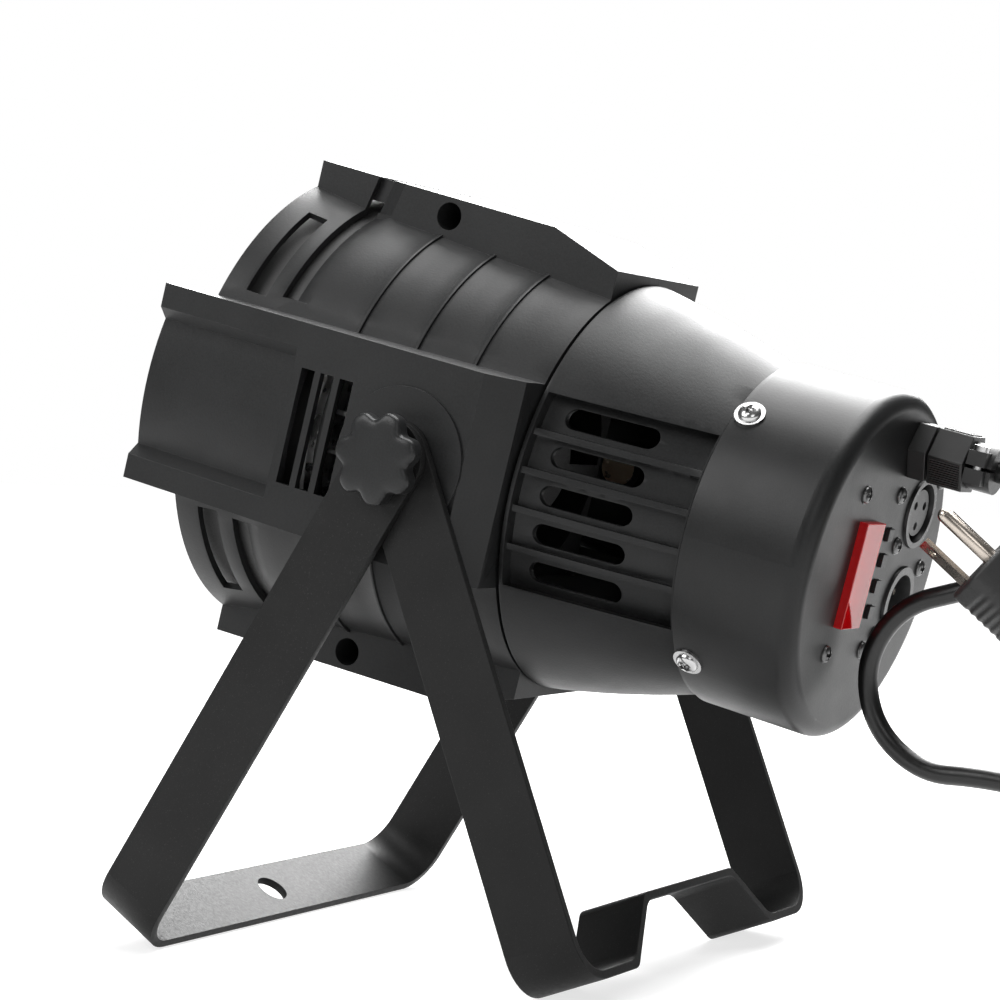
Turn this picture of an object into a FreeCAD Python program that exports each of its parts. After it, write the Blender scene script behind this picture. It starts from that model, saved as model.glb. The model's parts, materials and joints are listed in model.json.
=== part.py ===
import FreeCAD, Part

import math
import os

from FreeCAD import Vector

# LED par can on two splayed strap brackets. Millimetres, +Z up, lens towards -Y, pivot axis along X.
# The head is drawn level, with its pivot at the origin and its front at -Y, and is tilted at the end.
# "Left" is the +X side.

# Attitude and stance
pivotHeight = 173.5
headTilt = 13.5

# Front shell: a flared hood, a gel-frame slot with a bevelled rear lip, then a barrel that narrows to the seam
hoodFront = -93.0
hoodRadius = 85.4
gelSlotFront = -70.8
gelSlotWidth = 5.2
gelSlotLean = 0.25
gelLipLength = 5.6
gelLipDepth = 1.5
barrelFrontRadius = 81.8
seamY = 34.0
seamRadius = 73.5
shellWall = 2.5
hoodSlotFront = -84.3
hoodSlotWidth = 7.9
hoodSlotStart = 27.8
hoodSlotEnd = 56.0
ribPositions = (-37.5, -14.5, 8.0)
ribWidth = 1.4
ribHeight = 0.9

# Pads: four flats that stand out of the barrel
topPadHalf = 32.5
topPadFrontFace = hoodRadius + 3.2
topPadRearFace = hoodRadius - 0.1
topPadBend = 6.4
topPadEnd = 76.0
sidePadHalf = 35.0
sidePadFace = hoodRadius + 2.6
sidePadFront = -108.5
sidePadBend = 24.0
sidePadEnd = 77.0
padWall = 2.5
recessRear = -49.0
recessHalfOuter = 26.5
recessHalfInner = 22.5
recessFloorRadius = hoodRadius + 1.4
sideSlotStarts = (-45.4, -37.5, -29.6)
sideSlotWidth = 5.4
sideSlotHalf = 20.0
bossRadius = 24.2
bossHeight = 1.0
joinScrewY = -36.0
joinScrewZ = hoodRadius - 5.4
joinHoleRadius = 4.9
joinHeadRadius = 3.6
joinShankRadius = 2.0
joinBossRadius = 6.4

# Cone shell and its vent panels
seamGap = 1.2
coneMidY = 62.0
coneMidRadius = 67.3
coneRearY = 92.6
coneRearRadius = 57.6
spigotClearance = 0.15
spigotLength = 7.0
spigotPastScrew = 7.0
ventHalf = 33.0
ventFront = 36.5
ventRear = 92.0
ventDepth = 5.0
ventPitch = 13.1
ventRibWidth = 2.2
ventSlotFront = 43.0
ventSlotLength = 31.0
ventSlotHeight = 7.0

# Rear cap with its flat panel
capFront = 93.5
capRear = 137.5
capRadius = 60.2
capWall = 2.5
capEdgeRadius = 6.0
capRimStep = 0.7
capRimLength = 2.0
capScrewY = 98.8
capScrewAngle = 44.0
capScrewHead = 3.9
capScrewShank = 1.7
capScrewReach = 3.4
capWasherRadius = 5.2
capWasherThickness = 1.0
capSeatDepth = 0.25

# Optics, from the seat behind the gel slot to the heat sink
opticSeatY = -66.0
seatWidth = 2.0
gasketThickness = 1.0
glassThickness = 3.0
retainerThickness = 2.0
lensPlateThickness = 3.0
lensPlateSkirt = 9.0
boardThickness = 1.6
emitterSide = 6.0
emitterHeight = 1.4
lensRadius = 12.5
lensRearRadius = 6.5
lensFlange = 1.5
lensLength = 10.6
innerLensCircle = 29.0
opticClearance = 1.7
lensRimWidth = 17.5
baffleClearance = 0.25
baffleThickness = 1.2
baffleFront = -91.5
innerLensCount = 6
outerLensCount = 12

# Heat sink and fan
sinkBase = 4.0
sinkCoreRadius = 20.0
finCount = 32
finThickness = 1.6
finLength = 24.0
ledgeWidth = 2.2
ledgeOverlap = 2.0
fanSide = 80.0
fanDepth = 25.0
fanBore = 38.0
fanHubRadius = 16.0
fanBladeRadius = 36.5
fanBladeCount = 7
fanBladeThickness = 1.6
fanShaftRadius = 1.5
fanShaftClearance = 0.05
fanStrutWidth = 5.0
fanBackplate = 3.0
fanRotorGap = 0.6
fanScrewInset = 4.2
fanScrewRadius = 1.8
fanScrewDepth = 5.0

# Electronics
chassisRadius = 54.8
chassisThickness = 1.5
chassisSeatWidth = 2.2
chassisHole = 9.0
standoffRadius = 3.0
powerBoardLength = 78.0
powerBoardHeight = 60.0
powerStandoff = 10.0
boardCornerInset = 5.0
transformerSize = (30.0, 26.0, 24.0)
transformerX = -17.0
transformerZ = 8.0
capacitorRadius = 7.5
capacitorLength = 26.0
capacitorX = 16.0
capacitorZ = (16.0, -3.0)
smallCapacitorX = -24.0
smallCapacitorZ = -18.0
chassisHoleZ = 36.0
controlBoardSize = (62.0, 70.0)
controlStandoff = 9.0
displayCentreX = 9.0
displayCentreZ = -1.5
displayBoardSize = (40.0, 60.0)
displayScrewX = 16.0
displayScrewZ = 27.0
displayStandoff = 10.0
windowX = 16.0
windowWidth = 16.0
windowHeight = 36.0
windowProud = 3.0
windowFlange = 1.5
windowFlangeRim = 1.6
digitDepth = 5.0
buttonX = -4.0
buttonPitch = 9.0
buttonCount = 4
buttonSide = 4.4
buttonClearance = 0.3
buttonProud = 1.4
buttonTravel = 0.6
switchSide = 6.0
switchHeight = 3.8
plungerRadius = 1.6
plungerClearance = 0.05
panelScrewHead = 2.9
panelScrewShank = 1.4

# DMX sockets, output above input
socketX = -29.0
outputZ = 19.5
inputZ = -12.0
socketRadius = 12.4
socketProud = 1.0
socketDepth = 22.0
socketFlangeSize = (36.0, 30.0)
socketFlangeThickness = 2.0
socketScrewX = 14.2
socketScrewZ = 11.6
socketHoleClearance = 0.2
outputBore = 10.4
outputInsertRadius = 8.2
outputRecess = 1.2
contactHoleRadius = 1.5
contactCircle = 4.8
inputBore = 9.6
inputCupDepth = 13.0
pinRadius = 1.15
pinLength = 9.0

# Lead entry: cable gland with a two-screw clamp
glandX = -12.5
glandZ = 41.5
glandFlats = 19.0
glandHexLength = 6.5
glandThreadRadius = 7.6
glandNeckRadius = 6.6
glandThreadLength = 10.0
glandNutGap = 0.8
glandNutLength = 12.5
glandLocknutLength = 4.5
glandLocknutFlats = 18.0
clampLength = 9.0
clampRadius = 8.0
clampLug = 11.0
clampLugWidth = 6.5
clampSplit = 1.2
clampScrewRadius = 1.6
clampScrewHead = 2.8
clampScrewHeadHeight = 1.8
sealRadius = 6.0

# Yoke
strapWidth = 26.0
strapThickness = 3.0
bendRadius = 12.0
bossWasherThickness = 0.5
legWasherThickness = 0.3
frontLegLength = 197.7
rearLegLength = 181.0
clampHoleRadius = 6.2
rearRaise = 20.0
raisedHalf = 35.5
slopeFoot = 55.5
studRadius = 4.0
studClearance = 0.05
studHoleClearance = 0.3
insertRadius = 7.0
insertLength = 16.0
studInside = 12.0
washerRadius = 11.0
knobWasherRadius = 8.5
knobWasherThickness = 1.2
knobRadius = 15.6
knobLobes = 7
knobLobeRadius = 4.0
knobValleyRadius = 3.4
knobThickness = 8.0
knobHubRadius = 8.0
knobHubHeight = 1.6
knobEdge = 1.6
knobDish = 0.6
studInKnob = 5.5

# Mains lead, measured from the pivot. It is folded into a hank that hangs behind the gland.
cordRadius = 3.4
hankX = 0.5
hankY = 237.0
hankZ = -62.0
hankHalfDepth = 14.0
hankHalfHeight = 54.0
hankEndRadius = 23.4
hankWaist = 12.0
tieWidth = 9.0
tieThickness = 1.2
plugCentre = (34.0, 183.0, -27.5)
plugRise = 42.0
plugSwing = 19.5
plugRoll = 65.0
plugBodyLength = 28.0
plugBodyWidth = 25.0
plugBodyDepth = 24.0
plugBodyEdge = 5.0
plugPinDepth = 10.0
plugNeckLength = 12.0
plugNeckRadius = 5.6
bladeLength = 18.0
bladeWidth = 6.35
bladeThickness = 1.5
bladeSpacing = 12.7
groundRadius = 2.4
groundLength = 21.4
groundOffset = 11.9

origin = Vector(0, 0, 0)
axisX = Vector(1, 0, 0)
axisY = Vector(0, 1, 0)
axisZ = Vector(0, 0, 1)


def box(xRange, yRange, zRange):
    corner = Vector(xRange[0], yRange[0], zRange[0])
    return Part.makeBox(xRange[1] - xRange[0], yRange[1] - yRange[0], zRange[1] - zRange[0], corner)


def rod(radius, start, end):
    step = end - start
    return Part.makeCylinder(radius, step.Length, start, step)


def rodY(radius, yStart, yEnd, x=0.0, z=0.0):
    return rod(radius, Vector(x, yStart, z), Vector(x, yEnd, z))


def rodX(radius, xStart, xEnd, y=0.0, z=0.0):
    return rod(radius, Vector(xStart, y, z), Vector(xEnd, y, z))


def tubeY(outer, inner, yStart, yEnd, x=0.0, z=0.0):
    return rodY(outer, yStart, yEnd, x, z).cut(rodY(inner, yStart - 1, yEnd + 1, x, z))


def face(points):
    return Part.Face(Part.makePolygon(list(points) + [points[0]]))


def turned(outline):
    """A solid of revolution about Y from (radius, y) points."""
    return face([Vector(radius, y, 0) for radius, y in outline]).revolve(origin, axisY, 360)


def hexY(flats, yStart, yEnd, x=0.0, z=0.0):
    corner = flats / math.sqrt(3)
    points = []
    for step in range(6):
        angle = math.radians(60 * step)
        points.append(Vector(x + corner * math.cos(angle), yStart, z + corner * math.sin(angle)))
    return face(points).extrude(Vector(0, yEnd - yStart, 0))


def around(shape, angle, axis=axisY, centre=origin):
    turnedShape = shape.copy()
    turnedShape.rotate(centre, axis, angle)
    return turnedShape


def moved(shape, x=0.0, y=0.0, z=0.0):
    shifted = shape.copy()
    shifted.translate(Vector(x, y, z))
    return shifted


def mirroredX(shape):
    return shape.mirror(origin, axisX)


def fused(shapes):
    result = shapes[0]
    if len(shapes) > 1:
        result = result.multiFuse(list(shapes[1:]))
    return result.removeSplitter()


def cutAll(shape, tools):
    return shape.cut(list(tools)) if tools else shape


def group(shapes):
    return Part.makeCompound(list(shapes))


def barrelRadius(y):
    share = (y - gelSlotFront) / (seamY - gelSlotFront)
    return barrelFrontRadius + (seamRadius - barrelFrontRadius) * share


def innerRadius(y):
    return barrelRadius(y) - shellWall


# Places worked out from the driving dimensions, front to back
gelSlotRear = gelSlotFront + gelSlotWidth
gasketY = opticSeatY + seatWidth
glassY = gasketY + gasketThickness
retainerY = glassY + glassThickness
lensPlateY = retainerY + retainerThickness
boardY = lensPlateY + lensPlateThickness + lensPlateSkirt
sinkY = boardY + boardThickness
finY = sinkY + sinkBase
fanY = finY + finLength
sinkRadius = innerRadius(finY) - opticClearance
finRadius = sinkRadius - 5.0
boardRadius = sinkRadius
glassRadius = innerRadius(retainerY) - opticClearance
seatRadius = glassRadius - 6.0
outerLensCircle = boardRadius - lensRimWidth
capInnerRadius = capRadius - capWall
panelInner = capRear - capWall
spigotEnd = capScrewY + spigotPastScrew
chassisY = spigotEnd - chassisSeatWidth - chassisThickness
powerBoardY = chassisY - powerStandoff - boardThickness
controlBoardY = chassisY + chassisThickness + controlStandoff
displayBoardY = panelInner - displayStandoff - boardThickness
bossFace = sidePadFace + bossHeight
rearLegInner = bossFace + bossWasherThickness
rearLegOuter = rearLegInner + strapThickness
frontLegInner = rearLegOuter + legWasherThickness
frontLegOuter = frontLegInner + strapThickness
knobWasherX = frontLegOuter
knobX = knobWasherX + knobWasherThickness
glandNutY = capRear + glandHexLength + glandNutGap
clampY = glandNutY + glandNutLength
cordExitY = clampY + clampLength


def frontOuter():
    """The outside of the hood and barrel as one solid."""
    return turned([
        (0, hoodFront),
        (hoodRadius, hoodFront),
        (barrelFrontRadius, gelSlotFront),
        (seamRadius, seamY),
        (0, seamY),
    ])


def frontInner():
    """The space inside the hood and barrel."""
    flare = (hoodRadius - barrelFrontRadius) / (gelSlotFront - hoodFront)
    return turned([
        (0, hoodFront - 1),
        (hoodRadius - shellWall + flare, hoodFront - 1),
        (innerRadius(gelSlotFront), gelSlotFront),
        (innerRadius(seamY + 1), seamY + 1),
        (0, seamY + 1),
    ])


def topPad(inset):
    """The block of the top pad, or with an inset the hollow inside it."""
    rearFace = topPadRearFace - inset
    points = [
        Vector(0, hoodFront + inset, 0),
        Vector(0, hoodFront + inset, topPadFrontFace - inset),
        Vector(0, topPadBend, rearFace),
        Vector(0, seamY - inset, topPadEnd - inset),
        Vector(0, seamY - inset, 0),
    ]
    half = topPadHalf - inset
    block = moved(face(points).extrude(Vector(2 * half, 0, 0)), x=-half)
    return block


def sidePad():
    """The block of the left pad, which runs forward of the hood."""
    points = [
        Vector(0, sidePadFront, -sidePadHalf),
        Vector(sidePadFace, sidePadFront, -sidePadHalf),
        Vector(sidePadFace, sidePadBend, -sidePadHalf),
        Vector(sidePadEnd, seamY, -sidePadHalf),
        Vector(0, seamY, -sidePadHalf),
    ]
    block = face(points).extrude(Vector(0, 0, 2 * sidePadHalf))
    hollow = rodY(hoodRadius - shellWall, sidePadFront - 1, hoodFront)
    return block.cut(hollow)


def sidePadHollow():
    """The hollow inside the left pad: shallow under the recess, deeper behind it."""
    half = sidePadHalf - padWall
    step = recessRear + padWall
    front = rodY(recessFloorRadius - padWall, hoodFront + padWall, step)
    front = front.common(box((0, sidePadFace), (hoodFront, step), (-half, half)))
    slope = (sidePadFace - sidePadEnd) / (seamY - sidePadBend)
    rearFace = sidePadFace - padWall
    points = [
        Vector(0, step, -half),
        Vector(rearFace, step, -half),
        Vector(rearFace, sidePadBend - padWall, -half),
        Vector(rearFace - slope * (seamY - sidePadBend), seamY - padWall, -half),
        Vector(0, seamY - padWall, -half),
    ]
    return fused([front, face(points).extrude(Vector(0, 0, 2 * half))])


def recessCutter():
    """The shallow window at the front of the left pad, with sloped edges and a curved floor."""
    length = recessRear - sidePadFront + 1
    points = [
        Vector(0, sidePadFront - 1, -recessHalfInner),
        Vector(recessFloorRadius - 3, sidePadFront - 1, -recessHalfInner),
        Vector(sidePadFace, sidePadFront - 1, -recessHalfOuter),
        Vector(sidePadFace + 5, sidePadFront - 1, -recessHalfOuter),
        Vector(sidePadFace + 5, sidePadFront - 1, recessHalfOuter),
        Vector(sidePadFace, sidePadFront - 1, recessHalfOuter),
        Vector(recessFloorRadius - 3, sidePadFront - 1, recessHalfInner),
        Vector(0, sidePadFront - 1, recessHalfInner),
    ]
    window = face(points).extrude(Vector(0, length, 0))
    return window.cut(rodY(recessFloorRadius, sidePadFront - 2, recessRear + 2))


def gelSlotCutter():
    """The slot for a gel frame: it crosses the top and bottom pads and stops at the side pads."""
    inner = barrelFrontRadius - shellWall - 0.6
    outer = topPadFrontFace + 12
    lean = gelSlotLean * (outer - barrelFrontRadius)
    lip = barrelRadius(gelSlotRear) - gelLipDepth
    lipEnd = barrelRadius(gelSlotRear + gelLipLength)
    ring = turned([
        (inner, gelSlotFront),
        (barrelFrontRadius, gelSlotFront),
        (outer, gelSlotFront + lean),
        (outer, gelSlotRear + lean),
        (lip, gelSlotRear),
        (inner, gelSlotRear),
    ])
    bevel = turned([
        (lip, gelSlotRear - 0.1),
        (lip, gelSlotRear),
        (lipEnd, gelSlotRear + gelLipLength),
        (lipEnd + 1, gelSlotRear + gelLipLength),
        (lipEnd + 1, gelSlotRear - 0.1),
    ])
    bevel = bevel.cut(box((-topPadHalf, topPadHalf), (gelSlotFront, gelSlotRear + 9), (-outer, outer)))
    ring = ring.fuse(bevel)
    keepHalf = hoodRadius * math.sin(math.radians(hoodSlotStart))
    reach = gelSlotRear + lean + gelLipLength + 1
    return ring.cut(box((-outer, outer), (gelSlotFront - 1, reach), (-keepHalf, keepHalf)))


def padLipCutters():
    """The same bevel on the upright sides of the top and bottom pads."""
    base = math.sqrt(barrelFrontRadius ** 2 - topPadHalf ** 2)
    slope = gelLipLength / gelLipDepth
    section = [
        Vector(topPadHalf - gelLipDepth, gelSlotRear - 0.5, base),
        Vector(topPadHalf - gelLipDepth, gelSlotRear + 0.5, base),
        Vector(topPadHalf + 0.5, gelSlotRear + 0.5 + (gelLipDepth + 0.5) * slope, base),
        Vector(topPadHalf + 0.5, gelSlotRear - 0.5, base),
    ]
    rise = topPadFrontFace - base + 1
    lean = gelSlotLean * rise
    wedge = face(section).extrude(Vector(0, lean, rise))
    lower = wedge.mirror(origin, axisZ)
    return [wedge, lower, mirroredX(wedge), mirroredX(lower)]


def hoodSlotCutter():
    """Four short slots in the hood, one in each quarter."""
    ring = tubeY(hoodRadius + 1, barrelFrontRadius - shellWall - 1, hoodSlotFront, hoodSlotFront + hoodSlotWidth)
    reach = 2 * hoodRadius
    start = math.radians(hoodSlotStart)
    end = math.radians(hoodSlotEnd)
    wedge = face([
        Vector(0, hoodSlotFront - 1, 0),
        Vector(reach * math.cos(start), hoodSlotFront - 1, reach * math.sin(start)),
        Vector(reach * math.cos(end), hoodSlotFront - 1, reach * math.sin(end)),
    ]).extrude(Vector(0, hoodSlotWidth + 2, 0))
    quarter = ring.common(wedge)
    lower = quarter.mirror(origin, axisZ)
    return [quarter, lower, mirroredX(quarter), mirroredX(lower)]


def barrelRibs():
    rings = []
    for y in ribPositions:
        outer = barrelRadius(y) + ribHeight
        rings.append(tubeY(outer, innerRadius(y) + 0.5, y - ribWidth / 2, y + ribWidth / 2))
    return rings


def joinPlaces():
    """Where the screws that hold the two front shells cross the seam: (y, z)."""
    return [(joinScrewY, joinScrewZ), (joinScrewY, -joinScrewZ)]


def frontShells():
    outer = fused([frontOuter(), topPad(0), topPad(0).mirror(origin, axisZ), sidePad(), mirroredX(sidePad())]
                  + barrelRibs())
    hollows = [
        frontInner(),
        topPad(padWall),
        topPad(padWall).mirror(origin, axisZ),
        sidePadHollow(),
        mirroredX(sidePadHollow()),
    ]
    shell = cutAll(outer, hollows)
    extras = []
    for sign in (1, -1):
        boss = rodX(bossRadius, sign * (sidePadFace - padWall - 1), sign * bossFace)
        extras.append(boss)
        extras.append(rodX(insertRadius + shellWall, sign * (bossFace - insertLength), sign * bossFace))
    sinkRoom = rodY(sinkRadius + 1, sinkY, finY)
    for y, z in joinPlaces():
        extras.append(rodX(joinBossRadius, -topPadHalf + 1, topPadHalf - 1, y, z).cut(sinkRoom))
    seatOuter = innerRadius(opticSeatY + seatWidth) + 1
    extras.append(tubeY(seatOuter, seatRadius, opticSeatY, opticSeatY + seatWidth))
    ledgeOuter = innerRadius(finY + ledgeWidth) + 1
    extras.append(tubeY(ledgeOuter, sinkRadius - ledgeOverlap, finY, finY + ledgeWidth))
    shell = fused([shell] + extras)
    cuts = [gelSlotCutter()] + padLipCutters() + hoodSlotCutter()
    cuts += [recessCutter(), mirroredX(recessCutter())]
    for sign in (1, -1):
        for start in sideSlotStarts:
            xRange = sorted((sign * (sinkRadius - ledgeOverlap), sign * (sidePadFace + 5)))
            cuts.append(box(xRange, (start, start + sideSlotWidth), (-sideSlotHalf, sideSlotHalf)))
        cuts.append(rodX(insertRadius, sign * (bossFace - insertLength - 1), sign * (bossFace + 1)))
    for y, z in joinPlaces():
        cuts.append(rodX(joinHoleRadius, joinBossRadius, topPadHalf + 1, y, z))
        cuts.append(rodX(joinShankRadius, -topPadHalf / 2, topPadHalf, y, z))
    shell = cutAll(shell, cuts)
    reach = 2 * sidePadFace
    half = box((0, reach), (-reach, reach), (-reach, reach))
    left = shell.common(half)
    right = shell.cut(half)
    return left, right


def coneOutline(inset):
    """The cone's convex side from front to rear, moved in by an inset."""
    side = Part.Arc(
        Vector(seamRadius - inset, seamY + seamGap, 0),
        Vector(coneMidRadius - inset, coneMidY, 0),
        Vector(coneRearRadius - inset, coneRearY, 0),
    )
    return side.toShape()


def coneSolid(inset, front, rear):
    side = coneOutline(inset)
    edges = [
        Part.makeLine(Vector(0, front, 0), Vector(seamRadius - inset, front, 0)),
        side,
        Part.makeLine(Vector(coneRearRadius - inset, rear, 0), Vector(0, rear, 0)),
        Part.makeLine(Vector(0, rear, 0), Vector(0, front, 0)),
    ]
    return Part.Face(Part.Wire(edges)).revolve(origin, axisY, 360)


def coneShells():
    front = seamY + seamGap
    spigotOuter = innerRadius(seamY) - spigotClearance
    capSpigotOuter = capInnerRadius - spigotClearance
    outer = fused([
        coneSolid(0, front, coneRearY),
        rodY(spigotOuter, seamY - spigotLength, front),
        rodY(capSpigotOuter, coneRearY, spigotEnd),
    ])
    inner = fused([
        coneSolid(shellWall, front, coneRearY),
        rodY(spigotOuter - shellWall, seamY - spigotLength - 1, front),
        rodY(min(capSpigotOuter, coneRearRadius) - shellWall, coneRearY - 1, spigotEnd - chassisSeatWidth),
        rodY(chassisRadius - chassisSeatWidth, coneRearY, spigotEnd + 1),
    ])
    ventFloor = []
    ventCuts = []
    for sign in (1, -1):
        deep = box(sorted((sign * 20, sign * 90)), (ventFront, ventRear), (-ventHalf, ventHalf))
        ventCuts.append(deep)
        wall = coneSolid(ventDepth, front, coneRearY).cut(coneSolid(ventDepth + shellWall, front, coneRearY))
        ventFloor.append(wall.common(moved(deep)))
    frame = box((-90, 90), (ventFront - shellWall, ventRear + shellWall), (-ventHalf - shellWall, ventHalf + shellWall))
    rims = coneSolid(shellWall / 2, front, coneRearY)
    rims = rims.cut(coneSolid(ventDepth + shellWall, front, coneRearY)).common(frame)
    shell = cutAll(outer, [inner])
    shell = fused([shell, rims.cut(box((-20, 20), (front - 9, capRear), (-90, 90)))])
    shell = cutAll(shell, ventCuts)
    ribs = []
    for index in range(4):
        z = ventPitch * (index - 1.5)
        bar = box((-90, 90), (ventFront - 1, ventRear + 1), (z - ventRibWidth / 2, z + ventRibWidth / 2))
        stock = coneSolid(ventDepth / 3, front, coneRearY)
        stock = stock.cut(coneSolid(ventDepth + 1, front, coneRearY))
        ribs.append(stock.common(bar).cut(box((-20, 20), (front - 9, capRear), (-90, 90))))
    shell = fused([shell] + ventFloor + ribs)
    slots = []
    for index in range(5):
        z = ventPitch * (index - 2)
        radius = ventSlotHeight / 2
        start = ventSlotFront + radius
        end = ventSlotFront + ventSlotLength - radius
        for sign in (1, -1):
            xRange = sorted((sign * 20, sign * 90))
            slots.append(box(xRange, (start, end), (z - radius, z + radius)))
            slots.append(rodX(radius, sign * 20, sign * 90, start, z))
            slots.append(rodX(radius, sign * 20, sign * 90, end, z))
    shell = cutAll(shell, slots)
    shell = cutAll(shell, [capScrewHole(angle) for angle in capScrewAngles()])
    half = box((0, 200), (-200, 200), (-200, 200))
    return shell.common(half), shell.cut(half)


def capScrewAngles():
    return [capScrewAngle, 180 - capScrewAngle, 180 + capScrewAngle, -capScrewAngle]


def radial(shape, angle):
    """Turns a shape drawn along +X so that it points at an angle above the X axis."""
    return around(shape, -angle)


def capScrewHole(angle):
    hole = rodX(capScrewShank, capInnerRadius - 10, capRadius + 2, capScrewY)
    return radial(hole, angle)


def capScrews():
    screws = []
    seat = capRadius - capSeatDepth
    under = seat + capWasherThickness
    for angle in capScrewAngles():
        washer = rodX(capWasherRadius, seat, under, capScrewY)
        head = Part.makeSphere(capScrewHead * 1.25, Vector(under - capScrewHead * 0.75, capScrewY, 0))
        head = head.common(rodX(capScrewHead, under, under + 3, capScrewY))
        shank = rodX(capScrewShank, capInnerRadius - capScrewReach, under, capScrewY)
        screw = fused([washer, head, shank])
        screws.append(radial(screw.cut(crossRecess(under + 0.3, capScrewY)), angle))
    return group(screws)


def capScrewSeat(angle):
    return radial(rodX(capWasherRadius, capRadius - capSeatDepth, capRadius + 2, capScrewY), angle)


def crossRecess(x, y):
    """A Phillips recess open towards +X."""
    wide = box((x, x + 5), (y - 2.2, y + 2.2), (-0.45, 0.45))
    tall = box((x, x + 5), (y - 0.45, y + 0.45), (-2.2, 2.2))
    return wide.fuse(tall)


def panelScrewPlaces():
    places = []
    for sideX in (-1, 1):
        for sideZ in (-1, 1):
            places.append((displayCentreX + sideX * displayScrewX, displayCentreZ + sideZ * displayScrewZ))
    for z in (outputZ, inputZ):
        places.append((socketX + socketScrewX, z - socketScrewZ))
        places.append((socketX - socketScrewX, z + socketScrewZ))
    return places


def panelScrews():
    screws = []
    for x, z in panelScrewPlaces():
        head = Part.makeSphere(panelScrewHead * 1.3, Vector(x, capRear - panelScrewHead * 0.8, z))
        head = head.common(rodY(panelScrewHead, capRear, capRear + 3, x, z))
        shank = rodY(panelScrewShank, panelInner - 6, capRear + 0.5, x, z)
        screw = fused([head, shank])
        slotY = capRear + 0.7
        screw = screw.cut(box((x - 1.7, x + 1.7), (slotY, slotY + 4), (z - 0.35, z + 0.35)))
        screw = screw.cut(box((x - 0.35, x + 0.35), (slotY, slotY + 4), (z - 1.7, z + 1.7)))
        screws.append(screw)
    return group(screws)


def windowPlace():
    left = windowX - windowWidth / 2
    low = displayCentreZ - windowHeight / 2
    return (left, left + windowWidth), (low, low + windowHeight)


def buttonPlaces():
    return [displayCentreZ + buttonPitch * (index - (buttonCount - 1) / 2) for index in range(buttonCount)]


def rearCap():
    inner = capRadius - capWall
    edge = capEdgeRadius
    profile = [
        Part.makeLine(Vector(inner, capFront, 0), Vector(capRadius - capRimStep, capFront, 0)),
        Part.makeLine(Vector(capRadius - capRimStep, capFront, 0),
                      Vector(capRadius - capRimStep, capFront + capRimLength, 0)),
        Part.makeLine(Vector(capRadius - capRimStep, capFront + capRimLength, 0),
                      Vector(capRadius, capFront + capRimLength, 0)),
        Part.makeLine(Vector(capRadius, capFront + capRimLength, 0), Vector(capRadius, capRear - edge, 0)),
        Part.Arc(Vector(capRadius, capRear - edge, 0),
                 Vector(capRadius - edge + edge * math.sqrt(0.5), capRear - edge + edge * math.sqrt(0.5), 0),
                 Vector(capRadius - edge, capRear, 0)).toShape(),
        Part.makeLine(Vector(capRadius - edge, capRear, 0), Vector(0, capRear, 0)),
        Part.makeLine(Vector(0, capRear, 0), Vector(0, panelInner, 0)),
        Part.makeLine(Vector(0, panelInner, 0), Vector(inner - edge + capWall, panelInner, 0)),
        Part.makeLine(Vector(inner - edge + capWall, panelInner, 0), Vector(inner, capRear - edge, 0)),
        Part.makeLine(Vector(inner, capRear - edge, 0), Vector(inner, capFront, 0)),
    ]
    cap = Part.Face(Part.Wire(profile)).revolve(origin, axisY, 360)
    through = (panelInner - 1, capRear + 1)
    windowRangeX, windowRangeZ = windowPlace()
    cuts = [box(windowRangeX, through, windowRangeZ)]
    for z in buttonPlaces():
        half = buttonSide / 2 + buttonClearance
        cuts.append(box((buttonX - half, buttonX + half), through, (z - half, z + half)))
    for z in (outputZ, inputZ):
        cuts.append(rodY(socketRadius + socketHoleClearance, through[0], through[1], socketX, z))
    cuts.append(rodY(glandThreadRadius, through[0], through[1], glandX, glandZ))
    for x, z in panelScrewPlaces():
        cuts.append(rodY(panelScrewShank, panelInner - 7, through[1], x, z))
    cuts += [capScrewHole(angle) for angle in capScrewAngles()]
    cuts += [capScrewSeat(angle) for angle in capScrewAngles()]
    return cutAll(cap, cuts)


def lensPlaces():
    places = []
    for count, circle, offset in ((innerLensCount, innerLensCircle, 0), (outerLensCount, outerLensCircle, 15)):
        for index in range(count):
            angle = math.radians(360 / count * index + offset)
            places.append((circle * math.cos(angle), circle * math.sin(angle)))
    return places


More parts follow.
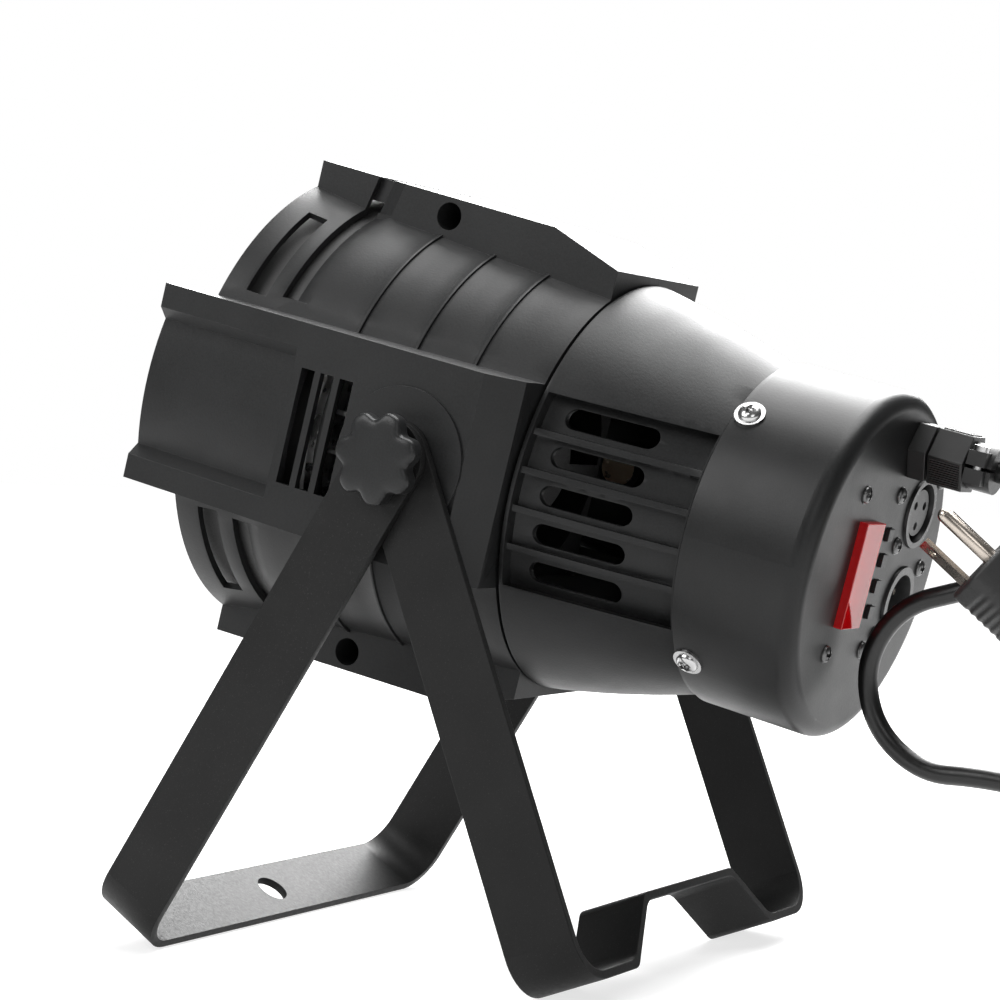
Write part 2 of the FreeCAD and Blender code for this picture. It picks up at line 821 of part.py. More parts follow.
def opticParts():
    parts = {}
    baffleRadius = innerRadius(opticSeatY) - baffleClearance
    parts["light_baffle"] = tubeY(baffleRadius, baffleRadius - baffleThickness, baffleFront, opticSeatY)
    parts["glass_gasket"] = tubeY(glassRadius - 0.5, seatRadius + 0.5, gasketY, glassY)
    parts["front_glass"] = rodY(glassRadius, glassY, retainerY)
    parts["retaining_ring"] = tubeY(glassRadius, seatRadius, retainerY, lensPlateY)
    plateRear = lensPlateY + lensPlateThickness
    plate = rodY(boardRadius, lensPlateY, boardY).cut(rodY(boardRadius - 2.5, plateRear, boardY + 1))
    bodyHoles = []
    lenses = []
    emitters = []
    flangeY = plateRear + lensFlange
    lensEnd = lensPlateY + lensLength
    emitterY = boardY - emitterHeight
    for x, z in lensPlaces():
        bodyHoles.append(rodY(lensRadius - 1.0, lensPlateY - 1, plateRear + 1, x, z))
        front = rodY(lensRadius - 1.0, lensPlateY, plateRear, x, z)
        flange = rodY(lensRadius, plateRear, flangeY, x, z)
        cone = Part.makeCone(lensRadius - 1.0, lensRearRadius, lensEnd - flangeY, Vector(x, flangeY, z), axisY)
        pocket = rodY(lensRearRadius - 1.5, lensEnd - 3, lensEnd + 1, x, z)
        holder = tubeY(lensRearRadius, lensRearRadius - 1.2, lensEnd, boardY, x, z)
        lenses.append(fused([front, flange, cone, holder]).cut(pocket))
        half = emitterSide / 2
        emitters.append(box((x - half, x + half), (emitterY, boardY), (z - half, z + half)))
    parts["lens_plate"] = cutAll(plate, bodyHoles)
    parts["lens_set"] = group(lenses)
    parts["led_emitters"] = group(emitters)
    parts["led_board"] = rodY(boardRadius, boardY, sinkY)
    return parts


def heatSink():
    base = rodY(sinkRadius, sinkY, finY)
    core = rodY(sinkCoreRadius, finY, fanY)
    fins = []
    half = finThickness / 2
    for index in range(finCount):
        fin = box((sinkCoreRadius - 1, finRadius), (finY, fanY), (-half, half))
        fins.append(radial(fin, 360 / finCount * (index + 0.5)))
    place = fanSide / 2 - fanScrewInset
    places = [(x, z) for x in (-place, place) for z in (-place, place)]
    posts = [rodY(fanScrewRadius * 2, finY, fanY, x, z) for x, z in places]
    sink = fused([base, core] + fins + posts)
    return cutAll(sink, [rodY(fanScrewRadius, fanY - fanScrewDepth, fanY + 1, x, z) for x, z in places])


def fanParts():
    half = fanSide / 2
    rear = fanY + fanDepth
    frame = box((-half, half), (fanY, rear), (-half, half))
    frame = frame.cut(rodY(fanBore, fanY - 1, rear - fanBackplate))
    spider = tubeY(fanBore, fanHubRadius, rear - fanBackplate - 1, rear + 1)
    arms = [box((-half, half), (rear - fanBackplate, rear), (-fanStrutWidth / 2, fanStrutWidth / 2)),
            box((-fanStrutWidth / 2, fanStrutWidth / 2), (rear - fanBackplate, rear), (-half, half))]
    frame = frame.cut(spider.cut(fused(arms)))
    shaftSeat = fanShaftRadius + fanShaftClearance
    bearing = tubeY(fanShaftRadius + 2.5, shaftSeat, rear - fanBackplate - 9, rear - fanBackplate)
    frame = fused([frame, bearing]).cut(rodY(shaftSeat, rear - fanBackplate - 10, rear - 1))
    holes = []
    screws = []
    place = half - fanScrewInset
    for x in (-place, place):
        for z in (-place, place):
            holes.append(rodY(fanScrewRadius, fanY - 1, rear + 1, x, z))
            shank = rodY(fanScrewRadius, fanY - fanScrewDepth, rear, x, z)
            screws.append(fused([shank, rodY(fanScrewRadius * 1.9, rear, rear + 2.4, x, z)]))
    frame = cutAll(frame, holes)
    rotorFront = fanY + 2.0
    rotorRear = rear - fanBackplate - fanRotorGap
    cup = rodY(fanHubRadius, rotorFront, rotorRear).cut(rodY(fanHubRadius - 1.5, rotorFront + 1.5, rotorRear + 1))
    shaft = rodY(fanShaftRadius, rotorFront, rear - 1.2)
    blades = []
    for index in range(fanBladeCount):
        blade = box((fanHubRadius - 0.8, fanBladeRadius), (rotorFront + 1, rotorRear - 2),
                    (-fanBladeThickness / 2, fanBladeThickness / 2))
        middle = Vector(fanBladeRadius / 2, (rotorFront + rotorRear) / 2, 0)
        blade = around(blade, 38, axisX, middle)
        blade = blade.common(rodY(fanBladeRadius, rotorFront, rotorRear))
        blades.append(radial(blade, 360 / fanBladeCount * index))
    rotor = fused([cup, shaft] + blades)
    return {"fan_frame": frame, "fan_rotor": rotor, "fan_screws": group(screws)}


def standoffs(places, yStart, yEnd):
    return [rodY(standoffRadius, yStart, yEnd, x, z) for x, z in places]


def corners(halfX, halfZ, x=0.0, z=0.0):
    return [(x + signX * halfX, z + signZ * halfZ) for signX in (-1, 1) for signZ in (-1, 1)]


def plateY(size, yStart, yEnd, x=0.0, z=0.0):
    return box((x - size[0] / 2, x + size[0] / 2), (yStart, yEnd), (z - size[1] / 2, z + size[1] / 2))


def electronicParts():
    parts = {}
    chassis = rodY(chassisRadius, chassisY, chassisY + chassisThickness)
    holes = [rodY(chassisHole, chassisY - 1, chassisY + 3, 0, z) for z in (-chassisHoleZ, chassisHoleZ)]
    parts["chassis_plate"] = cutAll(chassis, holes)
    powerSize = (powerBoardLength, powerBoardHeight)
    parts["power_board"] = plateY(powerSize, powerBoardY, powerBoardY + boardThickness)
    inset = boardCornerInset
    powerPlaces = corners(powerBoardLength / 2 - inset, powerBoardHeight / 2 - inset)
    controlPlaces = corners(controlBoardSize[0] / 2 - inset, controlBoardSize[1] / 2 - inset)
    rows = standoffs(powerPlaces, powerBoardY + boardThickness, chassisY)
    rows += standoffs(controlPlaces, chassisY + chassisThickness, controlBoardY)
    parts["board_standoffs"] = group(rows)
    width, height, depth = transformerSize
    transformer = plateY((width, height), powerBoardY - depth, powerBoardY, transformerX, transformerZ)
    parts["transformer"] = transformer
    cans = [rodY(capacitorRadius, powerBoardY - capacitorLength, powerBoardY, capacitorX, z) for z in capacitorZ]
    smallEnd = powerBoardY - capacitorLength * 0.6
    cans.append(rodY(capacitorRadius * 0.7, smallEnd, powerBoardY, smallCapacitorX, smallCapacitorZ))
    parts["capacitors"] = group(cans)
    parts["control_board"] = plateY(controlBoardSize, controlBoardY, controlBoardY + boardThickness)
    displayRear = displayBoardY + boardThickness
    board = plateY(displayBoardSize, displayBoardY, displayRear, displayCentreX, displayCentreZ)
    switches = []
    for z in buttonPlaces():
        body = plateY((switchSide, switchSide), displayRear - 0.2, displayRear + switchHeight, buttonX, z)
        bore = rodY(plungerRadius + plungerClearance, displayRear + 0.6, displayRear + switchHeight + 1, buttonX, z)
        switches.append(body.cut(bore))
    parts["display_board"] = fused([board] + switches)
    places = corners(displayScrewX, displayScrewZ, displayCentreX, displayCentreZ)
    posts = [tubeY(standoffRadius, panelScrewShank, displayRear, panelInner, x, z) for x, z in places]
    parts["display_standoffs"] = group(posts)
    xRange, zRange = windowPlace()
    rim = windowFlangeRim
    flange = box((xRange[0] - rim, xRange[1] + rim), (panelInner - windowFlange, panelInner),
                 (zRange[0] - rim, zRange[1] + rim))
    window = box(xRange, (panelInner - windowFlange, capRear + windowProud), zRange)
    parts["display_window"] = fused([window, flange])
    digitRear = panelInner - windowFlange
    digits = box((xRange[0] + 1, xRange[1] - 1), (displayRear, digitRear), (zRange[0] + 1, zRange[1] - 1))
    parts["digit_display"] = digits
    return parts


def menuButtons():
    """Four push-buttons, each a square cap on a plunger that slides in its switch."""
    parts = {}
    switchTop = displayBoardY + boardThickness + switchHeight
    for index, z in enumerate(buttonPlaces()):
        cap = plateY((buttonSide, buttonSide), switchTop + buttonTravel + 0.4, capRear + buttonProud, buttonX, z)
        plunger = rodY(plungerRadius, switchTop - 2.0, switchTop + buttonTravel + 0.6, buttonX, z)
        parts["menu_button_%d" % (index + 1)] = fused([cap, plunger])
    return parts


def socketPins():
    return [(contactCircle * math.cos(math.radians(angle)), contactCircle * math.sin(math.radians(angle)))
            for angle in (30, 150, 270)]


def socketBody(z):
    barrelFront = capRear + socketProud - socketDepth
    barrel = rodY(socketRadius, barrelFront, capRear + socketProud, socketX, z)
    flange = plateY(socketFlangeSize, panelInner - socketFlangeThickness, panelInner, socketX, z)
    flange = flange.cut(rodY(glandLocknutFlats / math.sqrt(3) + 0.5, panelInner - 5, panelInner + 1, glandX, glandZ))
    flange = flange.common(rodY(capInnerRadius - capEdgeRadius + capWall - 0.2, panelInner - 5, panelInner))
    body = fused([barrel, flange])
    holes = [rodY(panelScrewShank, panelInner - 5, panelInner + 1, socketX + socketScrewX, z - socketScrewZ),
             rodY(panelScrewShank, panelInner - 5, panelInner + 1, socketX - socketScrewX, z + socketScrewZ)]
    return cutAll(body, holes)


def socketParts():
    parts = {}
    mouth = capRear + socketProud
    rear = mouth - socketDepth
    bore = rodY(outputBore, rear + 3, mouth + 1, socketX, outputZ)
    parts["dmx_output_shell"] = socketBody(outputZ).cut(bore)
    insert = rodY(outputInsertRadius, rear + 3, mouth - outputRecess, socketX, outputZ)
    contacts = [rodY(contactHoleRadius, rear + 6, mouth + 1, socketX + x, outputZ + z) for x, z in socketPins()]
    parts["dmx_output_insert"] = cutAll(insert, contacts)
    cup = rodY(inputBore, mouth - inputCupDepth, mouth + 1, socketX, inputZ)
    parts["dmx_input_shell"] = socketBody(inputZ).cut(cup)
    floor = mouth - inputCupDepth
    parts["dmx_input_pins"] = group([rodY(pinRadius, floor, floor + pinLength, socketX + x, inputZ + z)
                                     for x, z in socketPins()])
    return parts


def glandParts():
    parts = {}
    hexEnd = capRear + glandHexLength
    neckEnd = hexEnd + glandNutGap + glandThreadLength
    body = fused([
        hexY(glandFlats, capRear, hexEnd, glandX, glandZ),
        rodY(glandThreadRadius, panelInner - glandLocknutLength - 1, capRear, glandX, glandZ),
        rodY(glandNeckRadius, hexEnd, neckEnd, glandX, glandZ),
    ])
    bore = rodY(cordRadius, panelInner - glandLocknutLength - 2, neckEnd + 1, glandX, glandZ)
    parts["gland_body"] = body.cut(bore)
    locknut = hexY(glandLocknutFlats, panelInner - glandLocknutLength, panelInner, glandX, glandZ)
    parts["gland_locknut"] = locknut.cut(rodY(glandThreadRadius, panelInner - 9, panelInner + 1, glandX, glandZ))
    nut = hexY(glandFlats, glandNutY, clampY, glandX, glandZ)
    nut = nut.cut(rodY(glandNeckRadius, glandNutY - 1, neckEnd, glandX, glandZ))
    parts["gland_nut"] = nut.cut(rodY(sealRadius, neckEnd - 1, clampY + 1, glandX, glandZ))
    parts["gland_seal"] = tubeY(sealRadius, cordRadius, neckEnd, clampY, glandX, glandZ)
    block = fused([
        rodY(clampRadius, clampY, cordExitY, glandX, glandZ),
        box((glandX - clampLug, glandX + clampLug), (clampY + 1, clampY + 1 + clampLugWidth),
            (glandZ - clampRadius * 0.7, glandZ + clampRadius * 0.7)),
    ])
    block = block.cut(rodY(cordRadius, clampY - 1, cordExitY + 1, glandX, glandZ))
    gap = box((glandX - 20, glandX + 20), (clampY, cordExitY + 1), (glandZ - clampSplit / 2, glandZ + clampSplit / 2))
    screwY = clampY + 1 + clampLugWidth / 2
    screws = []
    holes = []
    for sign in (-1, 1):
        x = glandX + sign * (clampLug - clampScrewHead)
        top = glandZ + clampRadius * 0.7
        low = Vector(x, screwY, glandZ - clampRadius * 0.7)
        high = Vector(x, screwY, top)
        holes.append(rod(clampScrewRadius, low, high))
        head = rod(clampScrewHead, high, high + Vector(0, 0, clampScrewHeadHeight))
        socket = rod(clampScrewHead * 0.45, high + Vector(0, 0, 0.6), high + Vector(0, 0, 3))
        screws.append(fused([rod(clampScrewRadius, low, high), head]).cut(socket))
    parts["cord_clamp"] = cutAll(block, [gap] + holes)
    parts["clamp_screws"] = group(screws)
    return parts


def joinScrews():
    screws = []
    for y, z in joinPlaces():
        head = rodX(joinHeadRadius, joinBossRadius, joinBossRadius + 3, y, z)
        shank = rodX(joinShankRadius, -topPadHalf / 2, joinBossRadius, y, z)
        screws.append(fused([head, shank]))
    return group(screws)


def pivotHardware():
    """Threaded inserts in the shells, and the thin washers beside each leg."""
    inserts = []
    bossWashers = []
    legWashers = []
    hole = studRadius + studHoleClearance
    for sign in (1, -1):
        insert = rodX(insertRadius, sign * (bossFace - insertLength), sign * bossFace)
        inserts.append(insert.cut(rodX(studRadius + studClearance, sign * (bossFace - insertLength + 2),
                                       sign * (bossFace + 1))))
        washer = rodX(washerRadius, sign * bossFace, sign * rearLegInner)
        bossWashers.append(washer.cut(rodX(hole, sign * bossFace, sign * rearLegInner)))
        washer = rodX(washerRadius, sign * rearLegOuter, sign * frontLegInner)
        legWashers.append(washer.cut(rodX(hole, sign * rearLegOuter, sign * frontLegInner)))
    return {"pivot_inserts": group(inserts), "boss_washers": group(bossWashers), "leg_washers": group(legWashers)}


def bend(before, corner, after, radius):
    """The two tangent points and the middle of a round bend at a corner."""
    back = (before - corner).normalize()
    ahead = (after - corner).normalize()
    half = math.acos(max(-1, min(1, back.dot(ahead)))) / 2
    reach = radius / math.tan(half)
    centre = corner + (back + ahead).normalize() * (radius / math.sin(half))
    middle = centre + (corner - centre).normalize() * radius
    return corner + back * reach, middle, corner + ahead * reach


def bentEdges(points, radii):
    """Straight runs joined by tangent arcs; radii has one value per inner point."""
    edges = []
    last = points[0]
    for index in range(1, len(points) - 1):
        start, middle, end = bend(points[index - 1], points[index], points[index + 1], radii[index - 1])
        if (start - last).Length > 1e-6:
            edges.append(Part.makeLine(last, start))
        edges.append(Part.Arc(start, middle, end).toShape())
        last = end
    edges.append(Part.makeLine(last, points[-1]))
    return edges


def strapSolid(outerPoints, outerRadii, innerRadii, innerPoints):
    """A bent flat strap between an outer and an inner outline in the XZ plane."""
    edges = bentEdges(outerPoints, outerRadii)
    back = bentEdges(innerPoints, innerRadii)
    edges.append(Part.makeLine(outerPoints[-1], innerPoints[-1]))
    edges += back
    edges.append(Part.makeLine(innerPoints[0], outerPoints[0]))
    wire = Part.Wire(Part.__sortEdges__(edges))
    strap = Part.Face(wire).extrude(Vector(0, strapWidth, 0))
    return moved(strap, y=-strapWidth / 2)


def finishBracket(strap, outerFace, splay):
    """Adds the round leg ends, drills the pivot holes and swings the bracket out."""
    ends = []
    holes = []
    inner = outerFace - strapThickness
    for sign in (1, -1):
        ends.append(rodX(strapWidth / 2, sign * inner, sign * outerFace))
        holes.append(rodX(studRadius + studHoleClearance, sign * (inner - 1), sign * (outerFace + 1)))
    bracket = cutAll(fused([strap] + ends), holes)
    return around(bracket, splay, axisX)


def splayAngle(legLength):
    """How far a leg leans for its edge to reach the floor."""
    half = strapWidth / 2
    diagonal = math.hypot(legLength, half)
    lean = math.acos(pivotHeight / diagonal) + math.atan(half / legLength)
    return math.degrees(lean)


def frontBracket():
    outer = frontLegOuter
    inner = frontLegInner
    low = -frontLegLength
    outerPoints = [Vector(-outer, 0, 0), Vector(-outer, 0, low), Vector(outer, 0, low), Vector(outer, 0, 0)]
    innerLow = low + strapThickness
    innerPoints = [Vector(-inner, 0, 0), Vector(-inner, 0, innerLow), Vector(inner, 0, innerLow), Vector(inner, 0, 0)]
    bendOuter = bendRadius + strapThickness
    strap = strapSolid(outerPoints, [bendOuter] * 2, [bendRadius] * 2, innerPoints)
    strap = strap.cut(rod(clampHoleRadius, Vector(0, 0, low - 1), Vector(0, 0, innerLow + 1)))
    return finishBracket(strap, outer, -splayAngle(frontLegLength))


def rearBracket():
    outer = rearLegOuter
    inner = rearLegInner
    low = -rearLegLength
    high = low + rearRaise
    innerLow = low + strapThickness
    innerHigh = high + strapThickness
    rise = math.atan2(rearRaise, slopeFoot - raisedHalf)
    shift = strapThickness * math.tan(rise / 2)
    outerHalf = [Vector(outer, 0, low), Vector(slopeFoot - shift, 0, low), Vector(raisedHalf - shift, 0, high)]
    innerHalf = [Vector(inner, 0, innerLow), Vector(slopeFoot, 0, innerLow), Vector(raisedHalf, 0, innerHigh)]
    outerPoints = [Vector(outer, 0, 0)] + outerHalf
    outerPoints += [Vector(-point.x, 0, point.z) for point in reversed(outerHalf)] + [Vector(-outer, 0, 0)]
    innerPoints = [Vector(inner, 0, 0)] + innerHalf
    innerPoints += [Vector(-point.x, 0, point.z) for point in reversed(innerHalf)] + [Vector(-inner, 0, 0)]
    large = bendRadius + strapThickness
    small = bendRadius / 2.4
    wide = small + strapThickness
    outerRadii = [large, small, wide, wide, small, large]
    innerRadii = [bendRadius, wide, small, small, wide, bendRadius]
    strap = strapSolid(outerPoints, outerRadii, innerRadii, innerPoints)
    strap = strap.cut(rod(clampHoleRadius, Vector(0, 0, high - 1), Vector(0, 0, innerHigh + 1)))
    return finishBracket(strap, outer, splayAngle(rearLegLength))


def starKnob():
    """A seven-lobed knob on the left, drawn along +X."""
    rear = knobX + knobHubHeight
    rim = knobX + knobThickness
    centreCircle = knobRadius - knobLobeRadius
    core = rodX(centreCircle - 0.5, rear, rim)
    lobes = []
    valleys = []
    for index in range(knobLobes):
        angle = 360 / knobLobes * index
        lobes.append(around(rodX(knobLobeRadius, rear, rim, centreCircle), angle, axisX))
        valley = rodX(knobValleyRadius, rear - 1, rim + 1, knobRadius)
        valleys.append(around(valley, angle + 180 / knobLobes, axisX))
    star = cutAll(fused([core] + lobes), valleys)
    rounding = Part.makeCylinder(knobRadius, knobThickness - knobHubHeight, Vector(rear, 0, 0), axisX)
    rounding = rounding.makeFillet(knobEdge, [edge for edge in rounding.Edges if edge.isClosed()])
    star = star.common(rounding)
    star = star.cut(rodX(knobRadius * 0.5, rim - knobDish, rim + 1))
    hub = rodX(knobHubRadius, knobX, rear + 0.5)
    bore = rodX(studRadius, knobX - 1, knobX + studInKnob)
    return fused([star, hub]).cut(bore)


def knobParts():
    parts = {}
    knob = starKnob()
    stud = rodX(studRadius, bossFace - studInside, knobX + studInKnob)
    washer = rodX(knobWasherRadius, knobWasherX, knobX)
    washer = washer.cut(rodX(studRadius + studHoleClearance, knobWasherX - 1, knobX + 1))
    for side, shape in (("left", lambda item: item), ("right", mirroredX)):
        parts["tilt_knob_" + side] = shape(knob)
        parts["tilt_stud_" + side] = shape(stud)
        parts["knob_washer_" + side] = shape(washer)
    return parts


def tilted(shape):
    """Turns a head part from level to its resting tilt, front up."""
    return around(shape, -headTilt, axisX)


def headPoint(x, y, z):
    """Where a point of the level head goes when the head is tilted."""
    angle = math.radians(headTilt)
    return Vector(x, y * math.cos(angle) + z * math.sin(angle), -y * math.sin(angle) + z * math.cos(angle))


def plugAim():
    """The way the plug's pins point."""
    rise = math.radians(plugRise)
    swing = math.radians(plugSwing)
    return Vector(math.sin(swing) * math.cos(rise), -math.cos(swing) * math.cos(rise), math.sin(rise))


def leadFromGland():
    """From inside the gland, over and into the top of the hank."""
    leaving = headPoint(glandX, cordExitY, glandZ)
    ahead = (leaving - headPoint(glandX, capRear, glandZ)).normalize()
    return [
        leaving - ahead * 8,
        leaving + ahead * 9,
        Vector(-12, 196, -10.5),
        Vector(-11, 214, -15),
        Vector(-10, 230, -12.5),
    ]


def leadLoop():
    """Out of the bottom of the hank, round the open loop and into its top."""
    return [
        Vector(1, 231, -112.4),
        Vector(2, 213, -109.5),
        Vector(2.5, 194, -101),
        Vector(3, 173.5, -98.3),
        Vector(4, 153.2, -98.5),
        Vector(5, 136.5, -83.8),
        Vector(6, 133.6, -61.9),
        Vector(6, 146, -43.4),
        Vector(6, 167.6, -37.6),
        Vector(6, 188, -31.2),
        Vector(5.5, 207, -20),
        Vector(5, 225, -13.5),
    ]


def leadToPlug():
    """From the rear run of the hank, round and up into the plug."""
    plugEnd = Vector(*plugCentre) - plugAim() * (plugBodyLength + plugNeckLength)
    return [
        Vector(11, 257.5, -35),
        Vector(17.5, 259, -53.7),
        Vector(19.2, 245, -67.9),
        plugEnd - plugAim() * 20,
        plugEnd,
    ]


def cordTube(points):
    """A tube along straight runs and tangent arcs, each as large as its runs allow."""
    radii = []
    for index in range(1, len(points) - 1):
        back = points[index] - points[index - 1]
        ahead = points[index + 1] - points[index]
        turn = back.getAngle(ahead)
        radii.append(0.45 * min(back.Length, ahead.Length) / math.tan(turn / 2))
    path = Part.Wire(bentEdges(points, radii))
    profile = Part.Wire(Part.makeCircle(cordRadius, points[0], (points[1] - points[0]).normalize()))
    tube = path.makePipeShell([profile], True, False)
    ratio = tube.Volume / (math.pi * cordRadius ** 2 * path.Length)
    print("cord radii", [round(radius, 1) for radius in radii], "length", round(path.Length, 1),
          "volume ratio", round(ratio, 4))
    return tube


def hankOutline(halfWidth, waist):
    """The hank seen from the side: two round ends drawn in to a waist by the tie."""
    lift = hankHalfHeight - hankEndRadius
    side = Vector(0, halfWidth * math.cos(math.radians(35)), lift - hankEndRadius * math.sin(math.radians(35)))
    crown = Vector(0, 0, hankHalfHeight)
    narrow = Vector(0, waist, tieWidth * 0.8)
    right = [side, narrow, Vector(0, narrow.y, -narrow.z), Vector(0, side.y, -side.z)]
    left = [Vector(0, -point.y, point.z) for point in reversed(right)]
    edges = [Part.makeLine(right[index], right[index + 1]) for index in range(3)]
    edges.append(Part.Arc(right[3], -crown, left[0]).toShape())
    edges += [Part.makeLine(left[index], left[index + 1]) for index in range(3)]
    edges.append(Part.Arc(left[3], crown, right[0]).toShape())
    return Part.Face(Part.Wire(edges))


def leadParts():
    parts = {}
    parts["power_cord"] = group([cordTube(leadFromGland()), cordTube(leadLoop()), cordTube(leadToPlug())])
    hank = hankOutline(hankEndRadius, hankWaist).extrude(Vector(2 * hankHalfDepth, 0, 0))
    parts["power_cord_hank"] = moved(hank, hankX - hankHalfDepth, hankY, hankZ)
    inner = box((-hankHalfDepth, hankHalfDepth), (-hankWaist, hankWaist), (-tieWidth, tieWidth))
    grow = tieThickness
    outer = box((-hankHalfDepth - grow, hankHalfDepth + grow), (-hankWaist - grow, hankWaist + grow),
                (-tieWidth / 2, tieWidth / 2))
    parts["cord_tie"] = moved(outer.cut(inner), hankX, hankY, hankZ)
    return parts


def plugParts():
    """A grounded plug, drawn upright with its pins along +Z and then laid at its lean."""
    low = -plugBodyLength
    halfWidth = plugBodyWidth / 2
    halfDepth = plugBodyDepth / 2
    middle = groundOffset / 2
    block = box((-halfWidth, halfWidth), (middle - halfDepth, middle + halfDepth), (low, 0))
    block = block.makeFillet(plugBodyEdge, [edge for edge in block.Edges if edge.Length > plugBodyLength * 0.95
                                            and abs(edge.Vertexes[0].Z - edge.Vertexes[1].Z) > 1])
    neck = Part.makeCone(plugNeckRadius, plugNeckRadius * 1.6, plugNeckLength + 1,
                         Vector(0, middle, low - plugNeckLength), axisZ)
    body = fused([block, neck])
    pieces = []
    sockets = []
    for sign in (-1, 1):
        centre = sign * bladeSpacing / 2
        sides = (centre - bladeThickness / 2, centre + bladeThickness / 2)
        blade = box(sides, (-bladeWidth / 2, bladeWidth / 2), (-plugPinDepth, bladeLength))
        blade = blade.cut(rodX(1.6, centre - 3, centre + 3, 0, bladeLength - 4.5))
        pieces.append(blade)
        sockets.append(box(sides, (-bladeWidth / 2, bladeWidth / 2), (-plugPinDepth, 1)))
    ground = rod(groundRadius, Vector(0, groundOffset, -plugPinDepth), Vector(0, groundOffset, groundLength - 2))
    tip = Part.makeSphere(groundRadius, Vector(0, groundOffset, groundLength - groundRadius))
    ground = fused([ground, rod(groundRadius, Vector(0, groundOffset, 0),
                                Vector(0, groundOffset, groundLength - groundRadius)), tip])
    ground = ground.common(box((-10, 10), (0, 30), (-plugPinDepth, groundLength)))
    pieces.append(ground)
    sockets.append(rod(groundRadius, Vector(0, groundOffset, -plugPinDepth), Vector(0, groundOffset, 1)))
    parts = {"plug_body": cutAll(body, sockets), "plug_pins": group(pieces)}
    for name in parts:
        laid = around(moved(parts[name], y=-middle), -plugRoll, axisZ)
        laid = around(around(laid, 90 - plugRise, axisX), plugSwing, axisZ)
        parts[name] = moved(laid, *plugCentre)
    return parts


def headParts():
    parts = {}
    parts["front_shell_left"], parts["front_shell_right"] = frontShells()
    parts["cone_shell_left"], parts["cone_shell_right"] = coneShells()
    parts["rear_cap"] = rearCap()
    parts.update(opticParts())
    parts["heat_sink"] = heatSink()
    parts.update(fanParts())
    parts.update(electronicParts())
    parts.update(menuButtons())
    parts.update(socketParts())
    parts.update(glandParts())
    parts["cap_screws"] = capScrews()
    parts["panel_screws"] = panelScrews()
    parts["shell_screws"] = joinScrews()
    parts.update(pivotHardware())
    parts.update(knobParts())
    return parts


def wholeLight():
    """Every piece, measured from the pivot, and the move that stands the light on the floor."""
    parts = {name: tilted(shape) for name, shape in headParts().items()}
    parts["front_bracket"] = frontBracket()
    parts["rear_bracket"] = rearBracket()
    light = group(parts.values()).optimalBoundingBox(False)
    parts.update(leadParts())
    parts.update(plugParts())
    shift = Vector(-(light.XMin + light.XMax) / 2, -(light.YMin + light.YMax) / 2, -light.ZMin)
    return parts, shift


os.makedirs("parts", exist_ok=True)
lightParts, standingShift = wholeLight()
print("shift", standingShift)
for name, shape in sorted(lightParts.items()):
    shape.translate(standingShift)
    shape.exportStep("parts/" + name + ".step")
    print(name, "solids", len(shape.Solids), "valid", shape.isValid(), "volume", round(shape.Volume))
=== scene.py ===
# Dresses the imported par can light: finishes, small hardware, the mains lead and plug, floor, lamps, camera.
import json
import math

import bmesh
import bpy
from mathutils import Matrix, Vector


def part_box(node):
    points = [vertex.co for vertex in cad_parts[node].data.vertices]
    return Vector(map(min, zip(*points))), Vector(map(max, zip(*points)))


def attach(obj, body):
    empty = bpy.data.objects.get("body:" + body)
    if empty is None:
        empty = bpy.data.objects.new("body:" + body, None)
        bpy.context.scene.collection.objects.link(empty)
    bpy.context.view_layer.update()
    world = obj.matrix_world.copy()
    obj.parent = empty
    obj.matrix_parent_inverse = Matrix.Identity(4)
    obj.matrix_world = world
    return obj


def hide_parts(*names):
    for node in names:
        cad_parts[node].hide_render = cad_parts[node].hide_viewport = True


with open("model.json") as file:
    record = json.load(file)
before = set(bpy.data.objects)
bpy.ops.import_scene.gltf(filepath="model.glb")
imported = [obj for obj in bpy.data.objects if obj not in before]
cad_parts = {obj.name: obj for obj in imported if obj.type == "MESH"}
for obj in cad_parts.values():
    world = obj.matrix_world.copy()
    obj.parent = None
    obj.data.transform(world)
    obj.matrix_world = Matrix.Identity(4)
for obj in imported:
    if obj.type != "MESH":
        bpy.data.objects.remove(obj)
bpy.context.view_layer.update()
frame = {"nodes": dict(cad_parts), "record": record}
nodes = frame["nodes"]
joints = {joint["name"]: joint for joint in frame["record"]["behaviour"]["joints"]}
pivot = Vector(joints["head_tilt"]["pos_m"])
rearward = Vector(joints["fan_spin"]["axis"]).normalized()  # along the lamp, out of the rear panel
sideways = Vector((1, 0, 0))
upward = sideways.cross(rearward).normalized()  # square to the lamp, towards its top pad
mm = 0.001


def onHead(x, y, z):
    # a place on the tilted head, from millimetres along its own three directions
    return pivot + (sideways * x + rearward * y + upward * z) * mm


def fromPivot(x, y, z):
    return pivot + Vector((x, y, z)) * mm


print("loaded", len(nodes), "nodes")


# node sheets

class Wire:
    # a node's output that adds Math nodes when it meets an operator
    def __init__(self, sheet, socket):
        self.sheet = sheet
        self.socket = socket

    def sum(self, operation, first, second=0.0):
        return self.sheet.sumOf(operation, first, second)

    def __add__(self, other):
        return self.sum("ADD", self, other)

    def __sub__(self, other):
        return self.sum("SUBTRACT", self, other)

    def __mul__(self, other):
        return self.sum("MULTIPLY", self, other)

    def __truediv__(self, other):
        return self.sum("DIVIDE", self, other)

    def __pow__(self, other):
        return self.sum("POWER", self, other)

    def __radd__(self, other):
        return self.sum("ADD", other, self)

    def __rsub__(self, other):
        return self.sum("SUBTRACT", other, self)

    def __rmul__(self, other):
        return self.sum("MULTIPLY", other, self)


